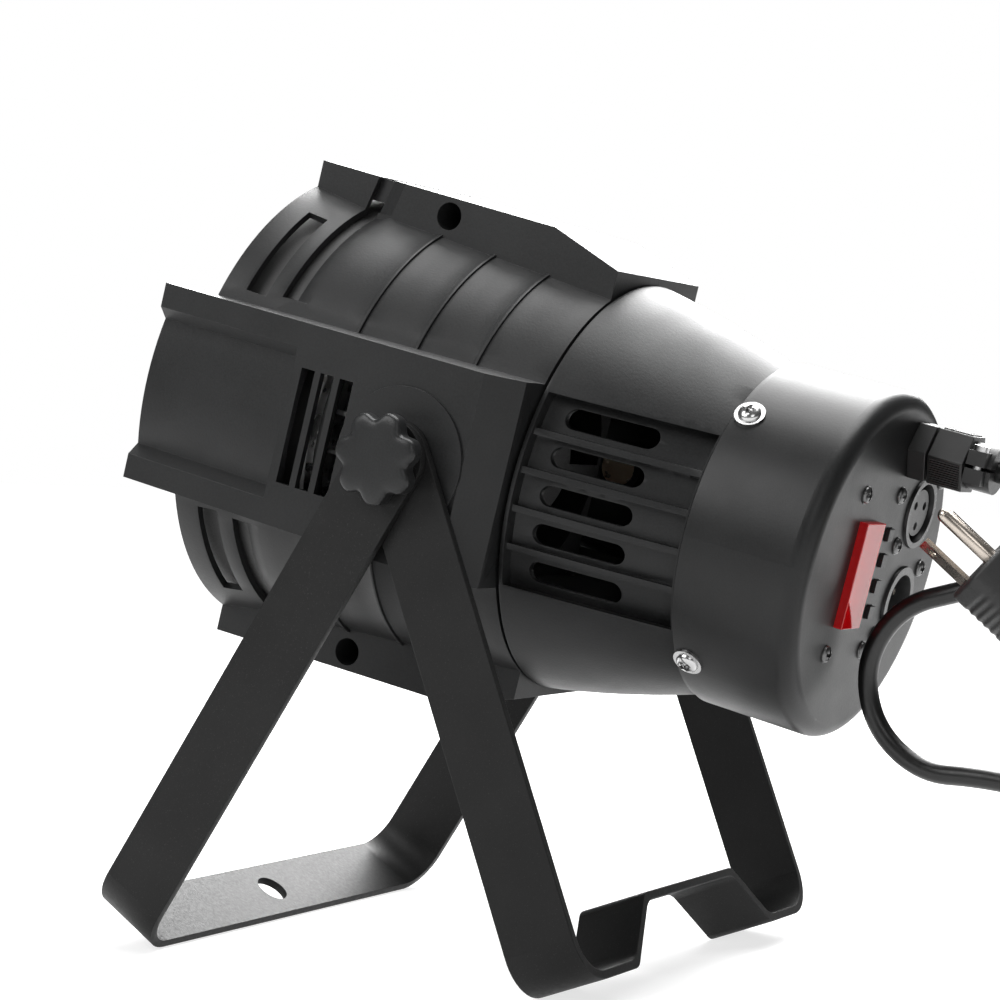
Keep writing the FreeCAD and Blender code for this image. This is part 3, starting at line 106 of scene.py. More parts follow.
class NodeSheet:
    def __init__(self, tree):
        self.tree = tree

    def node(self, kind, settings=None, sockets=None):
        made = self.tree.nodes.new(kind)
        for key, value in (settings or {}).items():
            if key == "stops":
                self.setStops(made.color_ramp, value)
            else:
                setattr(made, key, value)
        for key, value in (sockets or {}).items():
            self.feed(made.inputs[key], value)
        return made

    def feed(self, entry, value):
        if isinstance(value, Wire):
            value = value.socket
        if isinstance(value, bpy.types.NodeSocket):
            self.tree.links.new(value, entry)
        else:
            entry.default_value = value

    def sumOf(self, operation, first, second=0.0):
        made = self.node("ShaderNodeMath", {"operation": operation}, {0: first, 1: second})
        return Wire(self, made.outputs[0])

    def triple(self, x, y, z):
        return self.node("ShaderNodeCombineXYZ", None, {0: x, 1: y, 2: z}).outputs[0]

    def graph(self, wire, places):
        # a drawn graph of value against value
        made = self.node("ShaderNodeFloatCurve", None, {"Value": wire})
        curve = made.mapping.curves[0]
        curve.points[0].location = places[0]
        curve.points[1].location = places[-1]
        for place in places[1:-1]:
            curve.points.new(*place)
        for point in curve.points:
            point.handle_type = "AUTO_CLAMPED"
        made.mapping.update()
        return Wire(self, made.outputs[0])

    def setStops(self, ramp, stops):
        while len(ramp.elements) < len(stops):
            ramp.elements.new(0.5)
        for element, (place, level) in zip(ramp.elements, stops):
            element.position = place
            element.color = (level, level, level, 1)


class Finish(NodeSheet):
    # one material: a Principled shader and the patterns that feed it
    def __init__(self, name, plain):
        self.material = bpy.data.materials.new(name)
        self.material.use_nodes = True
        super().__init__(self.material.node_tree)
        self.tree.nodes.clear()
        self.shader = self.node("ShaderNodeBsdfPrincipled", None, plain)
        self.node("ShaderNodeOutputMaterial", None, {"Surface": self.shader.outputs[0]})
        self.place = self.node("ShaderNodeTexCoord").outputs["Object"]

    def noise(self, size, detail=2.0, rough=0.5, squash=None):
        # size is the width of one patch in metres
        place = self.place
        if squash:
            place = self.node("ShaderNodeMapping", None, {"Vector": place, "Scale": squash}).outputs[0]
        made = self.node("ShaderNodeTexNoise", None,
                         {"Vector": place, "Scale": 1 / size, "Detail": detail, "Roughness": rough})
        return Wire(self, made.outputs[0])

    def cells(self, size):
        made = self.node("ShaderNodeTexVoronoi", {"feature": "SMOOTH_F1"},
                         {"Vector": self.place, "Scale": 1 / size})
        return Wire(self, made.outputs[0])

    def spread(self, wire, low, high, fromLow=0.3, fromHigh=0.7):
        made = self.node("ShaderNodeMapRange", None, {"Value": wire, "From Min": fromLow, "From Max": fromHigh,
                                                      "To Min": low, "To Max": high})
        return Wire(self, made.outputs[0])

    def blend(self, mask, first, second):
        made = self.node("ShaderNodeMix", {"data_type": "RGBA"}, {0: mask, 6: first, 7: second})
        return made.outputs[2]

    def bump(self, height, strength, distance):
        made = self.node("ShaderNodeBump", None,
                         {"Height": height, "Strength": strength, "Distance": distance})
        self.feed(self.shader.inputs["Normal"], made.outputs[0])

    def use(self, **links):
        names = {"colour": "Base Color", "rough": "Roughness"}
        for key, value in links.items():
            self.feed(self.shader.inputs[names[key]], value)
        return self.material


def grey(level, warm=0.0):
    return (level * (1 + warm), level, level * (1 - warm), 1)


# finishes

shellLook = {"dark": 0.010, "light": 0.018, "rough": (0.40, 0.50), "grain": 0.0007, "grainDepth": 0.00014}
capLook = {"dark": 0.008, "light": 0.014, "rough": (0.34, 0.44), "grain": 0.0006, "grainDepth": 0.00008}
strapLook = {"dark": 0.010, "light": 0.017, "rough": (0.44, 0.54), "peel": 0.0013, "peelDepth": 0.00009}


def mouldedPlastic(name, look):
    finish = Finish(name, {"Specular IOR Level": 0.3})
    cloud = finish.noise(0.045, 3)
    grain = finish.noise(look["grain"], 2)
    pits = finish.cells(look["grain"] * 1.7)
    tone = finish.spread(cloud * 0.6 + grain * 0.4, 0, 1, 0.35, 0.65)
    colour = finish.blend(tone, grey(look["dark"], -0.02), grey(look["light"], -0.02))
    rough = finish.spread(finish.noise(0.012, 3) * 0.5 + grain * 0.5, look["rough"][0], look["rough"][1])
    finish.bump(grain * 0.6 + pits * 0.4, 0.35, look["grainDepth"])
    return finish.use(colour=colour, rough=rough)


def powderCoat(name, look):
    finish = Finish(name, {"Specular IOR Level": 0.2})
    peel = finish.noise(look["peel"], 2)
    cloud = finish.noise(0.03, 2)
    dust = finish.spread(finish.noise(0.0005, 1), 0, 1, 0.66, 0.74)
    tone = finish.spread(cloud * 0.7 + peel * 0.3, 0, 1)
    colour = finish.blend(tone, grey(look["dark"]), grey(look["light"]))
    colour = finish.blend(dust * 0.25, colour, grey(0.08))
    finish.bump(peel, 0.4, look["peelDepth"])
    return finish.use(colour=colour, rough=finish.spread(peel, look["rough"][0], look["rough"][1]))


def platedSteel(name, level, low, high, warm=0.0):
    finish = Finish(name, {"Metallic": 1.0})
    streak = finish.noise(0.006, 2)
    spot = finish.spread(finish.noise(0.012, 2), 0, 1)
    colour = finish.blend(spot, grey(level, warm), grey(level * 0.85, warm))
    finish.bump(streak, 0.05, 0.00002)
    return finish.use(colour=colour, rough=finish.spread(streak, low, high))


def smoothPlastic(name, level, low, high, grain=0.0006, depth=0.00003):
    finish = Finish(name, {"Specular IOR Level": 0.5})
    speck = finish.noise(grain, 2)
    colour = finish.blend(finish.spread(finish.noise(0.01, 2), 0, 1), grey(level), grey(level * 1.5))
    finish.bump(speck, 0.25, depth)
    return finish.use(colour=colour, rough=finish.spread(speck, low, high))


def circuitBoard(name, mask, track):
    finish = Finish(name, {"Coat Weight": 0.4, "Coat Roughness": 0.15})
    tracks = finish.spread(finish.noise(0.006, 1, 0.4, (1, 6, 1)), 0, 1, 0.48, 0.52)
    pads = finish.spread(finish.cells(0.004), 0, 1, 0.25, 0.2)
    colour = finish.blend(tracks * 0.5, mask, track)
    colour = finish.blend(pads, colour, grey(0.5, 0.05))
    return finish.use(colour=colour, rough=finish.spread(tracks, 0.35, 0.45, 0, 1))


def tintedClear(name, colour, share, rough):
    finish = Finish(name, {"Base Color": colour, "Transmission Weight": share, "IOR": 1.49})
    smear = finish.noise(0.01, 2)
    return finish.use(rough=finish.spread(smear, rough, rough * 2 + 0.02))


finishes = {
    "shell_black": mouldedPlastic("shellBlack", shellLook),
    "cap_black": mouldedPlastic("capBlack", capLook),
    "bracket_black": powderCoat("strapBlack", strapLook),
    "clear_glass": tintedClear("frontGlass", (0.95, 0.98, 0.97, 1), 0.95, 0.01),
    "seal_rubber": smoothPlastic("sealRubber", 0.015, 0.6, 0.75),
    "plain_aluminium": platedSteel("sinkAluminium", 0.78, 0.22, 0.38),
    "lens_plate_black": smoothPlastic("lensPlateBlack", 0.018, 0.45, 0.6),
    "lens_clear": tintedClear("lensClear", (0.93, 0.95, 0.96, 1), 0.85, 0.02),
    "emitter_yellow": smoothPlastic("emitterDome", 0.6, 0.3, 0.4),
    "board_white": circuitBoard("ledBoardWhite", grey(0.7), grey(0.8)),
    "board_green": circuitBoard("boardGreen", (0.01, 0.09, 0.035, 1), (0.02, 0.16, 0.06, 1)),
    "fan_black": smoothPlastic("fanBlack", 0.015, 0.4, 0.55),
    "screw_steel": platedSteel("zincSteel", 0.62, 0.25, 0.4),
    "screw_bright": platedSteel("brightScrew", 0.55, 0.18, 0.3),
    "screw_dark": platedSteel("darkScrew", 0.16, 0.25, 0.4),
    "chassis_steel": platedSteel("chassisSteel", 0.6, 0.3, 0.45),
    "transformer_iron": platedSteel("coreIron", 0.25, 0.4, 0.6),
    "capacitor_can": platedSteel("canSleeve", 0.55, 0.2, 0.35),
    "brass_parts": platedSteel("turnedBrass", 0.6, 0.25, 0.4, 0.25),
    "digit_grey": smoothPlastic("digitGrey", 0.06, 0.3, 0.4),
    "window_red": tintedClear("windowRed", (0.9, 0.004, 0.008, 1), 0.35, 0.03),
    "socket_black": smoothPlastic("socketBlack", 0.016, 0.28, 0.4),
    "insert_black": smoothPlastic("insertGrey", 0.06, 0.4, 0.5),
    "pin_plated": platedSteel("pinPlate", 0.5, 0.2, 0.3, 0.12),
    "gland_black": smoothPlastic("glandNylon", 0.016, 0.35, 0.48),
    "button_black": smoothPlastic("buttonBlack", 0.012, 0.4, 0.5),
    "knob_black": mouldedPlastic("knobBlack", dict(capLook, dark=0.014, light=0.024, rough=(0.3, 0.4))),
    "cord_black": smoothPlastic("sheathBlack", 0.004, 0.3, 0.4, 0.0012, 0.00002),
    "tie_black": smoothPlastic("tieBlack", 0.014, 0.4, 0.5),
    "plug_black": smoothPlastic("plugRubber", 0.010, 0.45, 0.6, 0.0006, 0.00008),
}
for entry in frame["record"]["subparts"]:
    piece = nodes[entry["node"]]
    for slot in piece.material_slots:
        slot.material = finishes[entry["material_slot"]]
print("finishes", len(finishes))


# helpers for pieces

def meshPiece(name, mesh, finish, body, sharp=35):
    piece = bpy.data.objects.new(name, mesh)
    bpy.context.collection.objects.link(piece)
    if not mesh.materials:
        mesh.materials.append(finishes[finish])
    for polygon in mesh.polygons:
        polygon.use_smooth = True
    mesh.set_sharp_from_angle(angle=math.radians(sharp))
    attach(piece, body)
    return piece


def closeUp(source, name):
    # merges doubles, turns the faces outwards and gives a mesh
    bmesh.ops.remove_doubles(source, verts=source.verts, dist=1e-7)
    bmesh.ops.recalc_face_normals(source, faces=source.faces)
    mesh = bpy.data.meshes.new(name)
    source.to_mesh(mesh)
    source.free()
    return mesh


def ringStack(rings):
    # skins a stack of rings of points, with a pole at each end
    made = bmesh.new()
    rows = [[made.verts.new(point) for point in ring] for ring in rings]
    count = len(rows[0])
    for low, high in zip(rows, rows[1:]):
        for index in range(count):
            after = (index + 1) % count
            made.faces.new((low[index], low[after], high[after], high[index]))
    for row in (rows[0], rows[-1]):
        middle = sum((vert.co for vert in row), Vector()) / count
        pole = made.verts.new(middle)
        for index in range(count):
            made.faces.new((row[index], row[(index + 1) % count], pole))
    return made


def geometryTree(name, entries):
    tree = bpy.data.node_groups.new(name, "GeometryNodeTree")
    tree.interface.new_socket("Geometry", in_out="INPUT", socket_type="NodeSocketGeometry")
    for label, value in entries.items():
        kind = "NodeSocketInt" if isinstance(value, int) else "NodeSocketFloat"
        socket = tree.interface.new_socket(label, in_out="INPUT", socket_type=kind)
        socket.default_value = value
    tree.interface.new_socket("Geometry", in_out="OUTPUT", socket_type="NodeSocketGeometry")
    sheet = NodeSheet(tree)
    return sheet, sheet.node("NodeGroupInput")


def endTree(sheet, geometry, finish):
    solid = sheet.node("GeometryNodeRealizeInstances", None, {0: geometry})
    painted = sheet.node("GeometryNodeSetMaterial", None,
                         {"Geometry": solid.outputs[0], "Material": finishes[finish]})
    sheet.node("NodeGroupOutput", None, {0: painted.outputs[0]})
    return sheet.tree


def growPiece(name, tree, entries, finish, body, seeds, aims=None, place=None):
    # runs a tree on a handful of seed points and keeps the plain mesh it makes
    seedMesh = bpy.data.meshes.new(name + "Seeds")
    seedMesh.from_pydata([tuple(seed) for seed in seeds], [], [])
    if aims:
        layer = seedMesh.attributes.new("aim", "FLOAT_VECTOR", "POINT")
        for index, aim in enumerate(aims):
            layer.data[index].vector = aim
    holder = bpy.data.objects.new(name + "Grow", seedMesh)
    bpy.context.collection.objects.link(holder)
    grower = holder.modifiers.new("grow", "NODES")
    grower.node_group = tree
    for item in tree.interface.items_tree:
        if item.item_type == "SOCKET" and item.in_out == "INPUT" and item.name in entries:
            grower[item.identifier] = entries[item.name]
    depsgraph = bpy.context.evaluated_depsgraph_get()
    mesh = bpy.data.meshes.new_from_object(holder.evaluated_get(depsgraph))
    holder.modifiers.remove(grower)
    bpy.data.objects.remove(holder)
    if place:
        mesh.transform(place)
    grown = bmesh.new()
    grown.from_mesh(mesh)
    return meshPiece(name, closeUp(grown, name), finish, body)


# camera and the mains lead

# millimetres from the pivot and the floor, degrees, and the focal length as a share of the sensor's width
cameraSet = {"east": 808.7, "rear": 442.4, "height": 168.3, "yaw": 29.26, "pitch": -0.50, "roll": 1.68,
             "focal": 2.559, "sensor": 36}


def addCamera():
    yaw = math.radians(cameraSet["yaw"])
    pitch = math.radians(cameraSet["pitch"])
    roll = math.radians(cameraSet["roll"])
    ahead = Vector((-math.cos(yaw) * math.cos(pitch), -math.sin(yaw) * math.cos(pitch), math.sin(pitch)))
    right = ahead.cross(Vector((0, 0, 1))).normalized()
    top = right.cross(ahead)
    rightRolled = right * math.cos(roll) + top * math.sin(roll)
    topRolled = top * math.cos(roll) - right * math.sin(roll)
    lens = bpy.data.cameras.new("camera")
    lens.sensor_width = cameraSet["sensor"]
    lens.lens = cameraSet["sensor"] * cameraSet["focal"]
    lens.clip_start = 0.01
    lens.clip_end = 50
    camera = bpy.data.objects.new("camera", lens)
    bpy.context.collection.objects.link(camera)
    turn = Matrix((rightRolled, topRolled, -ahead)).transposed().to_4x4()
    place = Vector((cameraSet["east"] * mm, pivot.y + cameraSet["rear"] * mm, cameraSet["height"] * mm))
    camera.matrix_world = Matrix.Translation(place) @ turn
    bpy.context.scene.camera = camera


addCamera()

# millimetres from the pivot; the loop and the last bend are places along the lead
leadSet = {"radius": 3.4, "hankY": 237.0, "hankZ": -62.0, "endRadius": 20.0, "endRise": 30.6, "waist": 8.0,
           "waistRise": 9.0, "exit": (-12.5, 165.8, 41.5), "toHank": ((-12, 196, -10.5), (-11, 214, -15)),
           "loop": ((2, 213, -109.5), (2.5, 194, -101), (3, 173.5, -98.3), (4, 153.2, -98.5),
                    (5, 136.5, -83.8), (6, 133.6, -61.9), (6, 146, -43.4), (6, 167.6, -37.6),
                    (6, 188, -31.2), (5.5, 207, -20)),
           "toPlug": ((13.2, 257.5, -37), (17.5, 259, -53.7), (19.2, 245, -67.9))}
plugSet = {"centre": (34.0, 183.0, -27.5), "rise": 42.0, "swing": 19.5, "roll": 65.0, "length": 28.0,
           "neck": 12.0, "width": 25.0, "depth": 24.0, "rings": 82, "sides": 56, "squareness": 0.42,
           "wavePitch": 2.8, "waveDepth": 0.45, "waveFrom": 5, "waveTo": 19.2, "neckRadius": 8.9,
           "neckTaper": 3.3, "grooveFrom": 28.6, "grooveDepth": 0.6, "grooveWidth": 1.5}


def plugAim():
    rise = math.radians(plugSet["rise"])
    swing = math.radians(plugSet["swing"])
    return Vector((math.sin(swing) * math.cos(rise), -math.cos(swing) * math.cos(rise), math.sin(rise)))


def hankTurn(places):
    # places are (quarter, x): quarters run clockwise from the top, seen from the left
    wide = leadSet["endRadius"] / math.cos(math.pi / 8)
    lift = leadSet["endRise"]
    points = {}
    for index, angle in enumerate((157.5, 112.5, 67.5, 22.5)):
        points[index] = (wide * math.cos(math.radians(angle)), lift + wide * math.sin(math.radians(angle)))
    points[4] = (leadSet["waist"], leadSet["waistRise"])
    points[5] = (leadSet["waist"], -leadSet["waistRise"])
    for index, angle in enumerate((-22.5, -67.5, -112.5, -157.5)):
        turned = math.radians(angle)
        points[6 + index] = (wide * math.cos(turned), wide * math.sin(turned) - lift)
    points[10] = (-leadSet["waist"], -leadSet["waistRise"])
    points[11] = (-leadSet["waist"], leadSet["waistRise"])
    return [(x, leadSet["hankY"] + points[step % 12][0], leadSet["hankZ"] + points[step % 12][1])
            for step, x in places]


def steps(first, last, xStart, xEnd):
    count = last - first
    return [(first + index, xStart + (xEnd - xStart) * index / count) for index in range(count + 1)]


def leadRoute():
    # gland, over the top of the hank, one and a half turns, the open loop, one more turn, then up to the plug
    gland = (onHead(*leadSet["exit"]) - pivot) / mm
    along = rearward
    plugEnd = Vector(plugSet["centre"]) - plugAim() * (plugSet["length"] + plugSet["neck"])
    route = [tuple(gland - along * 8), tuple(gland + along * 9), *leadSet["toHank"]]
    route += hankTurn(steps(1, 20, -10, 0.5))
    route += leadSet["loop"]
    route += hankTurn(steps(1, 14, 5, 12.6))
    route += [*leadSet["toPlug"], tuple(plugEnd - plugAim() * 20), tuple(plugEnd)]
    return [fromPivot(*point) for point in route]


def addLead():
    curve = bpy.data.curves.new("leadLine", "CURVE")
    curve.dimensions = "3D"
    spline = curve.splines.new("NURBS")
    route = leadRoute()
    spline.points.add(len(route) - 1)
    for point, place in zip(spline.points, route):
        point.co = (*place, 1)
    spline.order_u = 3
    spline.use_endpoint_u = True
    spline.resolution_u = 10
    curve.bevel_depth = leadSet["radius"] * mm
    curve.bevel_resolution = 5
    curve.use_fill_caps = True
    curve.materials.append(finishes["cord_black"])
    lead = bpy.data.objects.new("powerLead", curve)
    bpy.context.collection.objects.link(lead)
    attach(lead, "head")
    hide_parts("power_cord", "power_cord_hank")
    bare = curve.copy()
    bare.bevel_depth = 0
    probe = bpy.data.objects.new("leadProbe", bare)
    bpy.context.collection.objects.link(probe)
    line = bpy.data.meshes.new_from_object(probe.evaluated_get(bpy.context.evaluated_depsgraph_get()))
    length = sum((line.vertices[edge.vertices[0]].co - line.vertices[edge.vertices[1]].co).length
                 for edge in line.edges)
    bpy.data.objects.remove(probe)
    print("lead length", round(length, 4))
    return lead, route, length


lead, leadPlaces, leadLength = addLead()


# small hardware

headTurn = Matrix((sideways, rearward, upward)).transposed().to_4x4()


def onHeadMatrix(x, y, z):
    return Matrix.Translation(onHead(x, y, z)) @ headTurn


capScrewSet = {"radius": 3.9, "height": 2.3, "crossReach": 2.3, "crossWidth": 0.75, "crossDepth": 1.5,
               "washer": 5.2, "washerDepth": 1.0, "along": 98.8, "seat": 59.95, "angle": 44.0}
panelScrewSet = {"radius": 2.9, "height": 1.5, "crossReach": 1.9, "crossWidth": 0.6, "crossDepth": 1.1,
                 "washer": 3.1, "washerDepth": 0.3, "face": 137.5, "display": (9.0, -1.5, 16.0, 27.0),
                 "sockets": (-29.0, (19.5, -12.0), 14.2, 11.6)}


def screwTree():
    # a domed head with a cross recess on a washer, stood on every seed point along its aim
    sheet, given = geometryTree("screwHead", {"Radius": 0.0039, "Height": 0.0023, "Cross Reach": 0.0023,
                                              "Cross Width": 0.0008, "Cross Depth": 0.0015,
                                              "Washer Radius": 0.0052, "Washer Depth": 0.001})
    take = {key: Wire(sheet, given.outputs[key]) for key in ("Radius", "Height", "Cross Reach", "Cross Width",
                                                              "Cross Depth", "Washer Radius", "Washer Depth")}

    dome = sheet.node("GeometryNodeMeshUVSphere", None, {"Segments": 32, "Rings": 20, "Radius": 1.0})
    head = sheet.node("GeometryNodeTransform", None, {"Geometry": dome.outputs[0],
                                                      "Scale": sheet.triple(take["Radius"], take["Radius"], take["Height"])})
    under = sheet.node("GeometryNodeMeshCube", None, {"Size": sheet.triple(0.03, 0.03, 0.01)})
    below = sheet.node("GeometryNodeTransform", None,
                       {"Geometry": under.outputs[0], "Translation": (0, 0, -0.005)})
    cutters = [below]
    for reach, width in (("Cross Reach", "Cross Width"), ("Cross Width", "Cross Reach")):
        bar = sheet.node("GeometryNodeMeshCube", None, {"Size": sheet.triple(take[reach] * 2, take[width] * 2,
                                                                       take["Cross Depth"] * 2)})
        cutters.append(sheet.node("GeometryNodeTransform", None, {
            "Geometry": bar.outputs[0], "Translation": sheet.triple(0, 0, take["Height"])}))
    carved = sheet.node("GeometryNodeMeshBoolean", {"operation": "DIFFERENCE"}, {0: head.outputs[0]})
    for cutter in cutters:
        sheet.feed(carved.inputs[1], cutter.outputs[0])
    lifted = sheet.node("GeometryNodeTransform", None, {"Geometry": carved.outputs[0],
                                                        "Translation": sheet.triple(0, 0, take["Washer Depth"])})
    disc = sheet.node("GeometryNodeMeshCylinder", None, {"Vertices": 40, "Radius": take["Washer Radius"],
                                                         "Depth": take["Washer Depth"]})
    washer = sheet.node("GeometryNodeTransform", None, {"Geometry": disc.outputs[0],
                                                        "Translation": sheet.triple(0, 0, take["Washer Depth"] / 2)})
    both = sheet.node("GeometryNodeJoinGeometry", None, {0: washer.outputs[0]})
    sheet.feed(both.inputs[0], lifted.outputs[0])
    aim = sheet.node("GeometryNodeInputNamedAttribute", {"data_type": "FLOAT_VECTOR"}, {"Name": "aim"})
    turn = sheet.node("FunctionNodeAlignRotationToVector", {"axis": "Z"}, {"Vector": aim.outputs[0]})
    placed = sheet.node("GeometryNodeInstanceOnPoints", None, {"Points": given.outputs["Geometry"],
                                                               "Instance": both.outputs[0],
                                                               "Rotation": turn.outputs[0]})
    return sheet, placed.outputs[0]


def screwEntries(look):
    return {"Radius": look["radius"] * mm, "Height": look["height"] * mm, "Cross Reach": look["crossReach"] * mm,
            "Cross Width": look["crossWidth"] * mm, "Cross Depth": look["crossDepth"] * mm,
            "Washer Radius": look["washer"] * mm, "Washer Depth": look["washerDepth"] * mm}


def addCapScrews():
    look = capScrewSet
    seeds = []
    aims = []
    for angle in (look["angle"], 180 - look["angle"], 180 + look["angle"], -look["angle"]):
        across = math.cos(math.radians(angle))
        rise = math.sin(math.radians(angle))
        seeds.append(onHead(look["seat"] * across, look["along"], look["seat"] * rise))
        aims.append(sideways * across + upward * rise)
    sheet, geometry = screwTree()
    tree = endTree(sheet, geometry, "screw_bright")
    heads = growPiece("capScrewHeads", tree, screwEntries(look), "screw_bright", "head", seeds, aims)
    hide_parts("cap_screws")


def addPanelScrews():
    look = panelScrewSet
    middleX, middleZ, spreadX, spreadZ = look["display"]
    places = [(middleX + x * spreadX, middleZ + z * spreadZ) for x in (-1, 1) for z in (-1, 1)]
    socketX, socketRows, offsetX, offsetZ = look["sockets"]
    for row in socketRows:
        places.append((socketX + offsetX, row - offsetZ))
        places.append((socketX - offsetX, row + offsetZ))
    seeds = [onHead(x, look["face"], z) for x, z in places]
    sheet, geometry = screwTree()
    tree = endTree(sheet, geometry, "screw_dark")
    heads = growPiece("panelScrewHeads", tree, screwEntries(look), "screw_dark", "head", seeds,
                      [rearward] * len(seeds))
    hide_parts("panel_screws")


ribSet = {"count": 11, "pitch": 0.88, "width": 0.45, "height": 0.4, "length": 10.6, "apothem": 9.5,
          "centre": (-12.5, 151.05, 41.5)}


def addNutRibs():
    # fine grip ribs on every second flat of the gland nut, drawn with the lamp axis along Y
    sheet, given = geometryTree("nutRibs", {"Ribs": 11, "Pitch": 0.00088, "Width": 0.00045, "Height": 0.0003,
                                            "Length": 0.0106, "Apothem": 0.0095})
    take = {key: Wire(sheet, given.outputs[key])
            for key in ("Ribs", "Pitch", "Width", "Height", "Length", "Apothem")}

    bar = sheet.node("GeometryNodeMeshCube", None,
                     {"Size": sheet.triple(take["Width"], take["Length"], take["Height"] * 2)})
    line = sheet.node("GeometryNodeMeshLine", None,
                      {"Count": take["Ribs"], "Offset": sheet.triple(take["Pitch"], 0, 0)})
    row = sheet.node("GeometryNodeInstanceOnPoints", None,
                     {"Points": line.outputs[0], "Instance": bar.outputs[0]})
    half = (take["Ribs"] - 1) * take["Pitch"] / 2
    flat = sheet.node("GeometryNodeTransform", None, {"Geometry": row.outputs[0],
                                                      "Translation": sheet.triple(0 - half, 0, take["Apothem"])})
    flats = sheet.node("GeometryNodePoints", None, {"Count": 6})
    order = Wire(sheet, sheet.node("GeometryNodeInputIndex").outputs[0])
    kept = sheet.sumOf("LESS_THAN", sheet.sumOf("MODULO", order, 2), 0.5)
    turned = sheet.node("GeometryNodeInstanceOnPoints", None, {
        "Points": flats.outputs[0], "Instance": flat.outputs[0], "Selection": kept,
        "Rotation": sheet.triple(0, order * math.radians(60), 0)})
    tree = endTree(sheet, turned.outputs[0], "gland_black")
    entries = {"Ribs": ribSet["count"], "Pitch": ribSet["pitch"] * mm, "Width": ribSet["width"] * mm,
               "Height": ribSet["height"] * mm, "Length": ribSet["length"] * mm, "Apothem": ribSet["apothem"] * mm}
    growPiece("glandNutRibs", tree, entries, "gland_black", "head", [(0, 0, 0)],
              place=onHeadMatrix(*ribSet["centre"]))


knobSet = {"radius": 15.6, "thickness": 8.0, "lobes": 7, "valley": 0.19, "spin": 12.0,
           "outline": ((0.0, 0.0), (0.02, 0.53), (0.10, 0.54), (0.22, 0.56), (0.30, 0.90), (0.40, 1.0), (0.60, 1.0),
                       (0.72, 0.97), (0.80, 0.88), (0.88, 0.60), (1.0, 0.0)),
           "rise": ((0.0, 0.0), (0.02, 0.0), (0.10, 0.0), (0.22, 0.16), (0.30, 0.20), (0.40, 0.30), (0.60, 0.66),
                    (0.72, 0.84), (0.80, 0.93), (0.88, 0.985), (1.0, 1.0)),
           "star": ((0.0, 0.0), (0.20, 0.0), (0.30, 1.0), (0.72, 1.0), (0.82, 0.75), (0.9, 0.25), (1.0, 0.0))}


def knobTree(name):
    # a sheet wrapped round the knob's axis; three graphs give its outline, its rise and its share of the star
    sheet, given = geometryTree(name, {"Radius": 0.0156, "Thickness": 0.008, "Lobes": 7, "Valley": 0.27,
                                       "Spin": 0.0, "Side": 1.0})
    take = {key: Wire(sheet, given.outputs[key])
            for key in ("Radius", "Thickness", "Lobes", "Valley", "Spin", "Side")}
    grid = sheet.node("GeometryNodeMeshGrid", None, {"Size X": 1.0, "Size Y": 1.0, "Vertices X": 127,
                                                     "Vertices Y": 45})
    place = sheet.node("GeometryNodeInputPosition").outputs[0]
    parts = sheet.node("ShaderNodeSeparateXYZ", None, {0: place})
    round_ = (Wire(sheet, parts.outputs[0]) + 0.5) * (2 * math.pi)
    along = Wire(sheet, parts.outputs[1]) + 0.5
    outline = sheet.graph(along, knobSet["outline"])
    rise = sheet.graph(along, knobSet["rise"])
    star = sheet.graph(along, knobSet["star"])
    wave = sheet.sumOf("COSINE", round_ * take["Lobes"])
    dip = ((1 - wave) / 2) ** 1.7 * take["Valley"] * star
    radius = take["Radius"] * outline * (1 - dip)
    angle = round_ + take["Spin"]
    spot = sheet.node("ShaderNodeCombineXYZ", None, {0: rise * take["Thickness"] * take["Side"],
                                                     1: radius * sheet.sumOf("COSINE", angle),
                                                     2: radius * sheet.sumOf("SINE", angle)})
    shaped = sheet.node("GeometryNodeSetPosition", None,
                        {"Geometry": grid.outputs[0], "Position": spot.outputs[0]})
    closed = sheet.node("GeometryNodeMergeByDistance", None,
                        {"Geometry": shaped.outputs[0], "Distance": 0.00002})
    return endTree(sheet, closed.outputs[0], "knob_black")


def addKnobs():
    for side, sign in (("left", 1), ("right", -1)):
        low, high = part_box("tilt_knob_" + side)
        inner = low[0] if sign > 0 else high[0]
        tree = knobTree("starKnob" + side.title())
        entries = {"Radius": knobSet["radius"] * mm, "Thickness": knobSet["thickness"] * mm,
                   "Lobes": knobSet["lobes"], "Valley": knobSet["valley"],
                   "Spin": math.radians(knobSet["spin"]), "Side": float(sign)}
        knob = growPiece("starKnob_" + side, tree, entries, "knob_black", "tilt_knob_" + side, [(0, 0, 0)],
                         place=Matrix.Translation((inner, pivot.y, pivot.z)))
        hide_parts("tilt_knob_" + side)


def squared(share):
    # pushes a round outline out towards a square one
    return math.copysign(abs(share) ** plugSet["squareness"], share)


